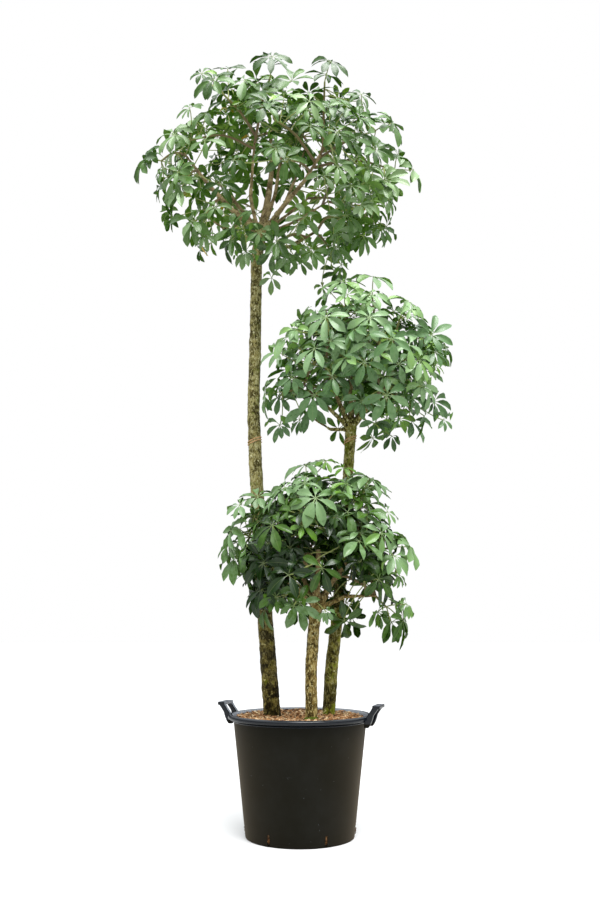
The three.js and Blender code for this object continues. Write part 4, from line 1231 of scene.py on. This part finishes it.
def swell_trunk(piece, limbs_from, settings):
    """The bark stands over the solid on the trunk, and the limbs grow a little thinner."""
    trunk, limbs = (piece.vertex_groups.new(name=name) for name in ("trunk", "limbs"))
    for vertex in piece.data.vertices:
        share = min(max((vertex.co.z - limbs_from) / LIMB_BLEND + 0.5, 0.0), 1.0)
        trunk.add([vertex.index], 1 - share, "REPLACE")
        limbs.add([vertex.index], share, "REPLACE")
    finish_by(piece, "DISPLACE", strength=settings.swell, mid_level=0, vertex_group="trunk")
    finish_by(piece, "DISPLACE", strength=-settings.thin_limbs, mid_level=0, vertex_group="limbs")


def bark_material(trunk, settings):
    look = TRUNK_LOOKS[trunk]
    values = {
        "Bark": look.bark, "Other Bark": look.other, "Shreds": look.shreds,
        "Moss": tuple(settings.moss), "Lichen": tuple(settings.lichen),
        "Moss Amount": look.moss, "Lichen Amount": look.lichen, "Scale": look.scale,
        "Limbs From": look.limbs_from, "Foot Shade": look.foot_shade,
        "Foot Light": look.foot_light, "Limb": look.limb,
    }
    return new_material(f"bark_{trunk}", bark_pattern, (0.7, 2.5 * MM), values,
                        Specular_IOR_Level=0.1, Sheen_Weight=0.12, Sheen_Tint=(1.0, 0.88, 0.55, 1))


def cut_wood_material():
    values = PLAIN | {
        "Bark": (0.7, 0.6, 0.4, 1), "Other Bark": (0.6, 0.48, 0.3, 1), "Shreds": (0.8, 0.72, 0.55, 1),
        "Moss": (0.3, 0.25, 0.15, 1), "Lichen": (0.8, 0.7, 0.5, 1),
        "Moss Amount": -0.4, "Lichen Amount": 0.3, "Scale": 1.0,
    }
    return new_material("cut_wood", bark_pattern, (0.3, 1 * MM), values, Specular_IOR_Level=0.2)


def paint_cut_end(piece):
    """The sawn limb's face shows pale wood."""
    top = np.array(CUT_LIMB_TOP)
    for face in piece.data.polygons:
        near = np.linalg.norm(np.array(face.center) - top) < 1.6 * CUT_LIMB_RADIUS
        if near and face.normal.z > 0.55:
            face.material_index = 1


# ---------------------------------------------------------------- pot

# the pot's sections: radius and height in mm, up the wall, over the rim and down inside
RIM_SECTION = [
    (229.5, 375), (232.5, 376), (234, 378), (233.2, 380.2), (232, 381.5), (238, 382.2),
    (244.5, 383.6), (248.6, 386.5), (250, 390.5), (249.3, 394.5), (247, 397.8), (243, 399.7),
    (238, 400), (233.5, 398.6), (229.5, 395), (227, 389), (225, 374),
]
RIM_FROM = 375 * MM
WALL_SECTION = [
    (181, 0), (184, 1), (185, 4), (188, 34), (189.5, 40), (192, 60), (200, 128), (210, 212),
    (220, 295), (228, 362),
]
INSIDE_SECTION = [(216, 295), (206, 212), (196, 128), (184, 20), (180, 6)]
POST_SECTION = [
    # height, inner and outer reach in mm of a handle's post
    (363, 236, 250), (374, 236, 258), (388, 238, 264), (402, 246, 268), (416, 257, 278),
    (431, 266, 290),
]
PLASTIC_LOOKS = {
    # amount of dust, wear and painted highlight on the upper faces (which also turns on the painted
    # reflection inside the rim and the pale handle tops), roughness, gloss and sheen
    "wall": (0.012, 0.0, 0.42, 0.08, 0.14),
    "rim": (0.01, 0.06, 0.08, 0.42, 0.0),
}


class UMBRELLA_OT_pot(bpy.types.Operator):
    """Mould the nursery pot with its rolled rim, two handles and drainage slots"""

    bl_idname = "umbrella.pot"
    bl_label = "Pot"

    def execute(self, context):
        settings = context.scene.umbrella_pot
        piece = turned("nursery_pot", WALL_SECTION + RIM_SECTION + INSIDE_SECTION, settings.sides)
        slots = self.drainage_slots()
        finish_by(piece, "BOOLEAN", operation="DIFFERENCE", object=slots, solver="EXACT")
        drop(slots)
        for turn in (HANDLE_TURN, HANDLE_TURN + math.pi):
            handle = self.handle(turn, settings)
            finish_by(piece, "BOOLEAN", operation="UNION", object=handle, solver="EXACT")
            drop(handle)
        piece.data.materials.clear()
        piece.data.materials.append(plastic_material("wall", settings.plastic))
        piece.data.materials.append(plastic_material("rim", settings.rim))
        for face in piece.data.polygons:
            face.material_index = 1 if face.center.z > RIM_FROM else 0
        smooth(piece, 40)
        settle(piece, "pot_plastic", "pot")
        return {"FINISHED"}

    def handle(self, turn, settings):
        """A broad loop: a rounded grip on two posts that lean out from the rim."""
        grip = new_piece("handle", bpy.ops.mesh.primitive_cube_add, size=1)
        bpy.ops.transform.resize(value=(GRIP_DEPTH, GRIP_LENGTH, GRIP_THICKNESS))
        middle = HANDLE_REACH - GRIP_DEPTH / 2
        bpy.ops.transform.translate(value=(middle, 0, HANDLE_TOP - GRIP_THICKNESS / 2))
        bpy.ops.object.transform_apply(location=True, scale=True)
        for side in (-1, 1):
            post = self.post(side * (GRIP_LENGTH - POST_WIDTH) / 2)
            finish_by(grip, "BOOLEAN", operation="UNION", object=post, solver="EXACT")
            drop(post)
        finish_by(grip, "REMESH", mode="VOXEL", voxel_size=settings.grain)
        finish_by(grip, "SMOOTH", factor=0.5, iterations=5)
        take(grip)
        grip.rotation_euler = (0, 0, turn)
        bpy.ops.object.transform_apply(rotation=True)
        return grip

    def post(self, across):
        """One post: a bar cut into levels, each moved out to its place in POST_SECTION."""
        low, high = POST_SECTION[0][0] * MM, POST_SECTION[-1][0] * MM
        post = new_piece("post", bpy.ops.mesh.primitive_cube_add, size=1)
        bpy.ops.transform.resize(value=(GRIP_DEPTH, POST_WIDTH, high - low))
        bpy.ops.transform.translate(value=(RIM_RADIUS, across, (high + low) / 2))
        bpy.ops.object.transform_apply(location=True, scale=True)
        levels = [level * MM for level, _, _ in POST_SECTION]
        cut_across(levels[1:-1])
        for vertex in post.data.vertices:
            column = 2 if vertex.co.x > RIM_RADIUS else 1
            reach = [row[column] * MM for row in POST_SECTION]
            vertex.co.x = float(np.interp(vertex.co.z, levels, reach))
        return post

    def drainage_slots(self):
        """The blocks that cut the slots in the wall's foot."""
        blocks = []
        for angle in SLOT_ANGLES:
            block = new_piece("slot", bpy.ops.mesh.primitive_cube_add, size=1)
            bpy.ops.transform.resize(value=(SLOT_DEPTH, SLOT_WIDTH, SLOT_HEIGHT))
            bpy.ops.object.transform_apply(scale=True)
            finish_by(block, "BEVEL", width=3 * MM, segments=3)
            cos, sin = math.cos(angle), math.sin(angle)
            block.location = (BASE_RADIUS * cos, BASE_RADIUS * sin, SLOT_MIDDLE)
            block.rotation_euler = (0, 0, angle)
            take(block)
            bpy.ops.object.transform_apply(location=True, rotation=True)
            blocks.append(block)
        let_go()
        for block in blocks:
            block.select_set(True)
        bpy.context.view_layer.objects.active = blocks[0]
        bpy.ops.object.join()
        return blocks[0]


def turned(name, section, sides):
    """A closed turned body: a disc pulled up ring by ring through (radius, height) in mm."""
    radius, height = section[0]
    piece = new_piece(name, bpy.ops.mesh.primitive_circle_add, vertices=sides, radius=radius * MM,
                      fill_type="NGON", location=(0, 0, height * MM))
    bpy.ops.object.transform_apply(location=True)
    edit_all()
    for wider, higher in section[1:]:
        rise = (0, 0, (higher - height) * MM)
        bpy.ops.mesh.extrude_region_move(TRANSFORM_OT_translate={"value": rise})
        bpy.ops.transform.resize(value=(wider / radius, wider / radius, 1))
        radius, height = wider, higher
    bpy.ops.mesh.select_all(action="SELECT")
    bpy.ops.mesh.normals_make_consistent(inside=False)
    bpy.ops.object.mode_set(mode="OBJECT")
    return piece


def plastic_material(part, colour):
    dust, wear_and_highlight, matt, gloss, sheen = PLASTIC_LOOKS[part]
    values = {
        # the pale blue-grey is the dust's colour and also the painted highlight and painted reflection
        "Plastic": tuple(colour), "Dust": (0.38, 0.42, 0.48, 1), "Dust Amount": dust,
        "Wear And Highlight": wear_and_highlight, "Matt": matt,
    }
    return new_material(f"{part}_plastic", dust_pattern, (0.15, 0.4 * MM), values,
                        Specular_IOR_Level=gloss, Sheen_Weight=sheen, Sheen_Tint=(1.0, 0.74, 0.42, 1))


# ---------------------------------------------------------------- soil and what lies on it

def trunk_at(trunk, height):
    """The middle and the radius of a trunk at one height, from where its edges cross it."""
    places, triangles = welded(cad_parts[f"trunk_{trunk}"].data)
    crossed = []
    for one, two in itertools.combinations(range(3), 2):
        a, b = places[triangles[:, one]], places[triangles[:, two]]
        cut = (a[:, 2] - height) * (b[:, 2] - height) < 0
        share = ((height - a[cut, 2]) / (b[cut, 2] - a[cut, 2]))[:, None]
        crossed.append(a[cut] + share * (b[cut] - a[cut]))
    crossed = np.concatenate(crossed)
    middle = (crossed.max(axis=0) + crossed.min(axis=0)) / 2
    return middle, np.linalg.norm(crossed - middle, axis=1).max()


SOIL_SECTION = [
    # radius and height in mm, up the soil's side
    (179.5, 6.5), (183.5, 20), (196, 128), (206, 212), (216, 295), (218.5, 372), (218, 384),
]
SOIL_SIDES = 96
SOIL_EDGE = (218, 386)  # radius and height in mm of its top's edge
SOIL_RISE = 3  # mm from there to the middle
SOIL_RINGS = 24  # from the edge to the middle
SOIL_TOP = 0.38  # metres: the unevenness begins over this height
CHIP_HEIGHT = SOIL_LEVEL + 3 * MM  # of the chips' layer


class UMBRELLA_OT_soil(bpy.types.Operator):
    """Fill the pot with potting mix and strew bark chips over it"""

    bl_idname = "umbrella.soil"
    bl_label = "Soil"

    def execute(self, context):
        settings = context.scene.umbrella_soil
        radius, height = SOIL_EDGE
        rings = [(radius * k / SOIL_RINGS, height + SOIL_RISE * (1 - (k / SOIL_RINGS) ** 2))
                 for k in range(SOIL_RINGS - 1, 0, -1)]
        piece = turned("potting_mix", SOIL_SECTION + rings, SOIL_SIDES)
        lumps = noise_texture("lumps", "CLOUDS", 0.02)
        top = piece.vertex_groups.new(name="top")
        top.add([v.index for v in piece.data.vertices if v.co.z > SOIL_TOP], 1.0, "REPLACE")
        finish_by(piece, "DISPLACE", texture=lumps, texture_coords="LOCAL", vertex_group="top",
                  direction="Z", strength=settings.bump, mid_level=0.6)
        smooth(piece, 180)
        piece.data.materials.append(soil_material())
        settle(piece, "bark_mix", "soil")
        self.strew(settings)
        return {"FINISHED"}

    def chip_shape(self):
        """One bark chip: a block with cut corners."""
        piece = new_piece("chip", bpy.ops.mesh.primitive_cube_add, size=1)
        edit_all()
        bpy.ops.mesh.bevel(offset=0.16, segments=1, affect="EDGES")
        bpy.ops.object.mode_set(mode="OBJECT")
        return shape_arrays(piece)

    def strew(self, settings):
        draw = random.Random(settings.seed)
        places, faces, _ = self.chip_shape()
        feet = [trunk_at(trunk, SOIL_LEVEL) for trunk in TRUNKS]
        gathered = Gathered()
        while gathered.count < settings.chips * len(places):
            far = SOIL_RADIUS * 0.985 * math.sqrt(draw.random())
            angle = draw.uniform(0, 2 * math.pi)
            spot = np.array([far * math.cos(angle), far * math.sin(angle), 0])
            long = settings.chip_length * draw.uniform(0.3, 1.0) ** 1.4
            in_trunk = any(np.linalg.norm((spot - middle)[:2]) < radius + 2 * MM
                           for middle, radius in feet)
            if in_trunk or far + long / 2 > SOIL_RADIUS:
                continue
            shape = places * (long, long * draw.uniform(0.35, 0.7), long * draw.uniform(0.16, 0.34))
            turn = turn_matrix(draw.uniform(0, 2 * math.pi), draw.gauss(0, 0.3), draw.gauss(0, 0.3))
            place = shape @ turn.T + spot + (0, 0, CHIP_HEIGHT + draw.uniform(-4, 6) * MM)
            tint = draw.random()
            uv = np.full((len(places), 2), tint)
            tints = np.full((1, len(places)), tint)
            gathered.take(place[None], faces, [0] * len(faces), uv, tints)
        piece = gathered.piece("bark_chips", [chip_material(settings)])
        smooth(piece, 20)
        settle(piece, "bark_mix")


def turn_matrix(spin, tip, roll):
    a, b, c = math.cos(spin), math.sin(spin), math.cos(tip)
    d, e, f = math.sin(tip), math.cos(roll), math.sin(roll)
    about_z = np.array([[a, -b, 0], [b, a, 0], [0, 0, 1]])
    about_x = np.array([[1, 0, 0], [0, c, -d], [0, d, c]])
    about_y = np.array([[e, 0, f], [0, 1, 0], [-f, 0, e]])
    return about_z @ about_x @ about_y


def soil_material():
    values = PLAIN | {
        "Bark": (0.09, 0.05, 0.027, 1), "Other Bark": (0.05, 0.03, 0.018, 1),
        "Shreds": (0.3, 0.18, 0.09, 1), "Moss": (0.1, 0.12, 0.03, 1), "Lichen": (0.3, 0.22, 0.14, 1),
        "Moss Amount": -0.2, "Lichen Amount": 0.4, "Scale": 1.6,
    }
    return new_material("potting_mix", bark_pattern, (1.0, 4 * MM), values, Specular_IOR_Level=0.1)


def chip_material(settings):
    values = {"Dark": (0.09, 0.045, 0.02, 1), "Chip": tuple(settings.chip), "Pale": (1.0, 0.8, 0.5, 1)}
    return new_material("bark_chips", chip_pattern, (0.6, 1.2 * MM), values, Specular_IOR_Level=0.12)


ROOT_REACHES = (-9, 7, 7, -9)  # in mm from the wall: a root loops out of its slot and back


class UMBRELLA_OT_litter(bpy.types.Operator):
    """Add the moss at the low trunk's foot, the root tips in the slots and a fallen leaf"""

    bl_idname = "umbrella.litter"
    bl_label = "Moss, roots and fallen leaf"

    def execute(self, context):
        settings = context.scene.umbrella_litter
        draw = random.Random(settings.seed)
        self.moss(settings)
        self.root_tips(settings, draw)
        self.fallen_leaf(settings, context.scene.umbrella_leaves, draw)
        return {"FINISHED"}

    def moss(self, settings):
        """A low cushion that leans on the foot of the low trunk."""
        middle, radius = trunk_at("low", SOIL_LEVEL)
        place = middle + FRONT * radius * 0.7 + (0, 0, 6 * MM)
        piece = new_piece("moss_cushion", bpy.ops.mesh.primitive_ico_sphere_add, subdivisions=6, radius=1)
        bpy.ops.transform.resize(value=(settings.moss_width / 2, settings.moss_width / 3.2, 9 * MM))
        bpy.ops.transform.translate(value=tuple(place))
        bpy.ops.object.transform_apply(location=True, scale=True)
        for scale, height in ((0.016, 7 * MM), (0.003, 3 * MM)):
            tufts = noise_texture("tufts", "CLOUDS", scale)
            finish_by(piece, "DISPLACE", texture=tufts, texture_coords="LOCAL", strength=height,
                      mid_level=0.6)
        smooth(piece, 180)
        values = {
            "Dark": (0.02, 0.035, 0.002, 1), "Chip": tuple(settings.moss),
            "Pale": (0.3, 0.36, 0.07, 1), "Tint": 0.6,
        }
        piece.data.materials.append(new_material("moss", chip_pattern, (1.0, 3 * MM), values,
                                                 Specular_IOR_Level=0.1))
        settle(piece, "bark_mix")

    def root_tips(self, settings, draw):
        """Root tips that loop out of every drainage slot."""
        gathered = Gathered()
        paths = [[self.in_slot(angle, draw, reach) for reach in ROOT_REACHES]
                 for angle in SLOT_ANGLES for _ in range(settings.roots)]
        radii = [(draw.uniform(0.6, 1.2) * MM,) * 2 for _ in paths]
        tints = [(draw.random(),) * 2 for _ in paths]
        add_stalks(gathered, shape_arrays(stalk_shape()), paths, radii, tints)
        gathered.slots = [0] * len(gathered.slots)
        values = {
            "Dark": (0.05, 0.02, 0.008, 1), "Chip": tuple(settings.root),
            "Pale": (0.3, 0.15, 0.06, 1),
        }
        material = new_material("roots", chip_pattern, (0.5, 1 * MM), values,
                                Specular_IOR_Level=0.15)
        settle(gathered.piece("root_tips", [material]), "bark_mix")

    def in_slot(self, turn, draw, reach):
        """A point in a slot, reach mm outside the wall there."""
        height = draw.uniform(6, 34)
        radii, heights = zip(*WALL_SECTION)
        out = (np.interp(height, heights, radii) + reach) * MM
        aside = draw.uniform(-1, 1) * SLOT_WIDTH * (0.9 if reach > 0 else 0.3)
        cos, sin = math.cos(turn), math.sin(turn)
        return np.array([out * cos - aside * sin, out * sin + aside * cos, height * MM])

    def fallen_leaf(self, settings, leaf_settings, draw):
        """One small yellow leaflet on the chips beside the tall trunk."""
        middle, radius = trunk_at("tall", SOIL_LEVEL)
        hub = middle + (-radius - 26 * MM, -6 * MM, 0)
        hub[2] = SOIL_LEVEL + 11 * MM
        way = np.array([0.8, -0.5, 0.15])
        tip = hub + unit(way) * settings.fallen_length
        rib = hub + unit(way + 0.3 * UP) * settings.fallen_length * RIB_AT
        whorl = Whorl(hub, UP, [Leaflet(rib, tip, unit(np.cross(UP, way)))], hub, 1.6)
        gathered = Gathered()
        add_leaflets(gathered, shape_arrays(leaflet_shape()), [whorl], leaf_settings, draw)
        settle(gathered.piece("fallen_leaf", leaf_materials("low")), "green_low")


# ---------------------------------------------------------------- twine

TWINE_TURNS = 2.4
TWINE_PITCH = 2.5  # from turn to turn, in thicknesses
TWINE_STEPS = 44  # along one turn
TWINE_SIDES = 8
TWINE_BEDDING = 0.42  # how far its middle stands over the bark, in thicknesses
OUTSIDE_BARK = 0.06  # metres from a trunk's middle to a point well outside its bark
SLANT_RADIUS = 0.022  # metres from a trunk's middle to where the twine lies


class UMBRELLA_OT_twine(bpy.types.Operator):
    """Wind two turns of garden twine round the tall and the middle trunk"""

    bl_idname = "umbrella.twine"
    bl_label = "Twine"

    def execute(self, context):
        settings = context.scene.umbrella_twine
        for trunk, height in TIE_HEIGHTS.items():
            path = self.winding(trunk, height, settings.thickness)
            piece = self.strand(f"twine_{trunk}", path, settings.thickness / 2)
            piece.data.materials.append(twine_material(settings))
            smooth(piece, 180)
            settle(piece, "twine", f"tie_{trunk}")
        return {"FINISHED"}

    def winding(self, trunk, height, thickness):
        """Points round the trunk's bark, slanting, with the turns side by side."""
        middle, _ = trunk_at(trunk, height)
        bark = bpy.data.objects[f"bark_{trunk}"]
        steps = round(TWINE_TURNS * TWINE_STEPS)
        points = []
        for k in range(steps + 1):
            angle = 2 * math.pi * k / TWINE_STEPS
            out = np.array([math.cos(angle), math.sin(angle), 0.0])
            rise = (k / TWINE_STEPS - TWINE_TURNS / 2) * thickness * TWINE_PITCH
            start = middle + out * OUTSIDE_BARK
            start[2] = height + rise + math.tan(TIE_SLANT) * out[0] * SLANT_RADIUS
            hit, place, _, _ = bark.ray_cast(tuple(start), tuple(-out))
            if not hit:
                raise RuntimeError(f"the {trunk} trunk isn't where its twine goes")
            points.append(np.array(place) + out * thickness * TWINE_BEDDING)
        points = np.array(points)
        soft = points.copy()
        for _ in range(3):
            soft[1:-1] = (soft[:-2] + 2 * soft[1:-1] + soft[2:]) / 4
        return soft

    def strand(self, name, path, radius):
        """A twisted strand: a circle pulled along the path."""
        rows = len(path) - 1
        piece = tube(name, TWINE_SIDES, rows)
        slopes = unit(np.gradient(path, axis=0))
        for vertex in piece.data.vertices:
            row = round(vertex.co.z * rows)
            first = unit(np.cross(slopes[row], UP))
            second = np.cross(slopes[row], first)
            angle = math.atan2(vertex.co.y, vertex.co.x)
            ply = 1 + 0.16 * math.cos(2 * angle + row * 0.9)
            cos, sin = math.cos(angle), math.sin(angle)
            vertex.co = path[row] + radius * ply * (cos * first + sin * second)
        return piece


def twine_material(settings):
    values = {
        "Dark": (0.2, 0.08, 0.03, 1), "Chip": tuple(settings.colour), "Pale": (0.7, 0.45, 0.26, 1),
        "Tint": 0.55,
    }
    return new_material("garden_twine", chip_pattern, (0.8, 0.8 * MM), values, Specular_IOR_Level=0.1)


# ---------------------------------------------------------------- stage

FLOOR_WIDTH = 60
FLOOR_BOUNCE = (0.5, 0.5, 0.49, 1)  # the floor's colour to all but the camera
LAMP_PLACE = (0.9, -2.4, 7.0)
LAMP_AIM = (0.1, 0.0, 1.6)
LAMP_WIDTH = 4.0
LAMP_WATTS = 60  # at a key of 1


class UMBRELLA_OT_stage(bpy.types.Operator):
    """Set up the pale floor, the soft light and the camera"""

    bl_idname = "umbrella.stage"
    bl_label = "Stage"

    def execute(self, context):
        settings = context.scene.umbrella_stage
        floor = new_piece("floor", bpy.ops.mesh.primitive_plane_add, size=FLOOR_WIDTH)
        material = bpy.data.materials.new("floor")
        material.use_nodes = True
        shader = material.node_tree.nodes["Principled BSDF"]
        tree = Tree(material.node_tree)
        seen = tree.add("ShaderNodeLightPath").outputs["Is Camera Ray"]
        tree.feed(shader.inputs["Base Color"], tree.mix(seen, FLOOR_BOUNCE, tuple(settings.floor)))
        shader.inputs["Roughness"].default_value = 0.9
        shader.inputs["Specular IOR Level"].default_value = 0.1
        floor.data.materials.append(material)
        context.scene.world = studio_walls(settings)
        context.scene.view_settings.view_transform = "Standard"
        self.lamp(settings.key * LAMP_WATTS)
        let_go()
        bpy.ops.object.camera_add(location=CAMERA_PLACE, rotation=(math.pi / 2 + CAMERA_PITCH, 0, 0))
        camera = bpy.context.object
        camera.data.lens = CAMERA_LENS
        camera.data.sensor_width = 36
        camera.data.clip_end = 100
        context.scene.camera = camera
        return {"FINISHED"}

    def lamp(self, power):
        """One large lamp overhead, turned to the plant."""
        bpy.ops.object.light_add(type="AREA", location=LAMP_PLACE)
        lamp = bpy.context.object
        lamp.name = "overhead"
        lamp.data.size = LAMP_WIDTH
        lamp.data.energy = power
        aim = [to - at for to, at in zip(LAMP_AIM, LAMP_PLACE)]
        lamp.rotation_euler = Vector(aim).to_track_quat("-Z", "Y").to_euler()


def studio_walls(settings):
    """Bright overhead and dimmer towards the floor; the camera itself sees them white."""
    world = bpy.data.worlds.new("studio")
    world.use_nodes = True
    tree = Tree(world.node_tree)
    background = world.node_tree.nodes["Background"]
    way = tree.add("ShaderNodeTexCoord").outputs["Generated"]
    height = tree.add("ShaderNodeSeparateXYZ", None, Vector=way).outputs[2]
    light = tree.mix(tree.step(height, -0.2, 0.9), (0.42, 0.42, 0.43, 1), (1.27, 1.3, 1.31, 1))
    mirrored = tree.mix(tree.step(height, 0.15, 0.9), (0.16, 0.16, 0.17, 1), (1.5, 1.57, 1.62, 1))
    rays = tree.add("ShaderNodeLightPath").outputs
    light = tree.mix(rays["Is Glossy Ray"], light, mirrored)
    tree.feed(background.inputs["Color"], tree.mix(rays["Is Camera Ray"], light, (1, 1, 1, 1)))
    background.inputs["Strength"].default_value = settings.sky
    return world


# ---------------------------------------------------------------- panel and start

class UMBRELLA_PT_panel(bpy.types.Panel):
    """Lists the pieces of the plant"""

    bl_idname = "UMBRELLA_PT_panel"
    bl_label = "Umbrella plant"
    bl_space_type = "VIEW_3D"
    bl_region_type = "UI"
    bl_category = "Umbrella plant"

    def draw(self, context):
        for key, (_, operator) in PARTS.items():
            box = self.layout.box()
            box.operator(operator.bl_idname)
            values = getattr(context.scene, key)
            for name in values.__annotations__:
                box.prop(values, name)


PARTS = {
    "umbrella_pot": (PotSettings, UMBRELLA_OT_pot),
    "umbrella_soil": (SoilSettings, UMBRELLA_OT_soil),
    "umbrella_bark": (BarkSettings, UMBRELLA_OT_trunks),
    "umbrella_litter": (LitterSettings, UMBRELLA_OT_litter),
    "umbrella_twine": (TwineSettings, UMBRELLA_OT_twine),
    "umbrella_leaves": (LeafSettings, UMBRELLA_OT_leaves),
    "umbrella_stage": (StageSettings, UMBRELLA_OT_stage),
}


def register():
    for key, (settings, operator) in PARTS.items():
        bpy.utils.register_class(settings)
        bpy.utils.register_class(operator)
        setattr(bpy.types.Scene, key, PointerProperty(type=settings))
    bpy.utils.register_class(UMBRELLA_PT_panel)


def unregister():
    bpy.utils.unregister_class(UMBRELLA_PT_panel)
    for key, (settings, operator) in reversed(PARTS.items()):
        delattr(bpy.types.Scene, key)
        bpy.utils.unregister_class(operator)
        bpy.utils.unregister_class(settings)


def main():
    register()
    bpy.ops.umbrella.pot()
    bpy.ops.umbrella.soil()
    bpy.ops.umbrella.trunks()
    bpy.ops.umbrella.litter()
    bpy.ops.umbrella.twine()
    bpy.ops.umbrella.leaves()
    bpy.ops.umbrella.stage()


if __name__ == "__main__":
    main()
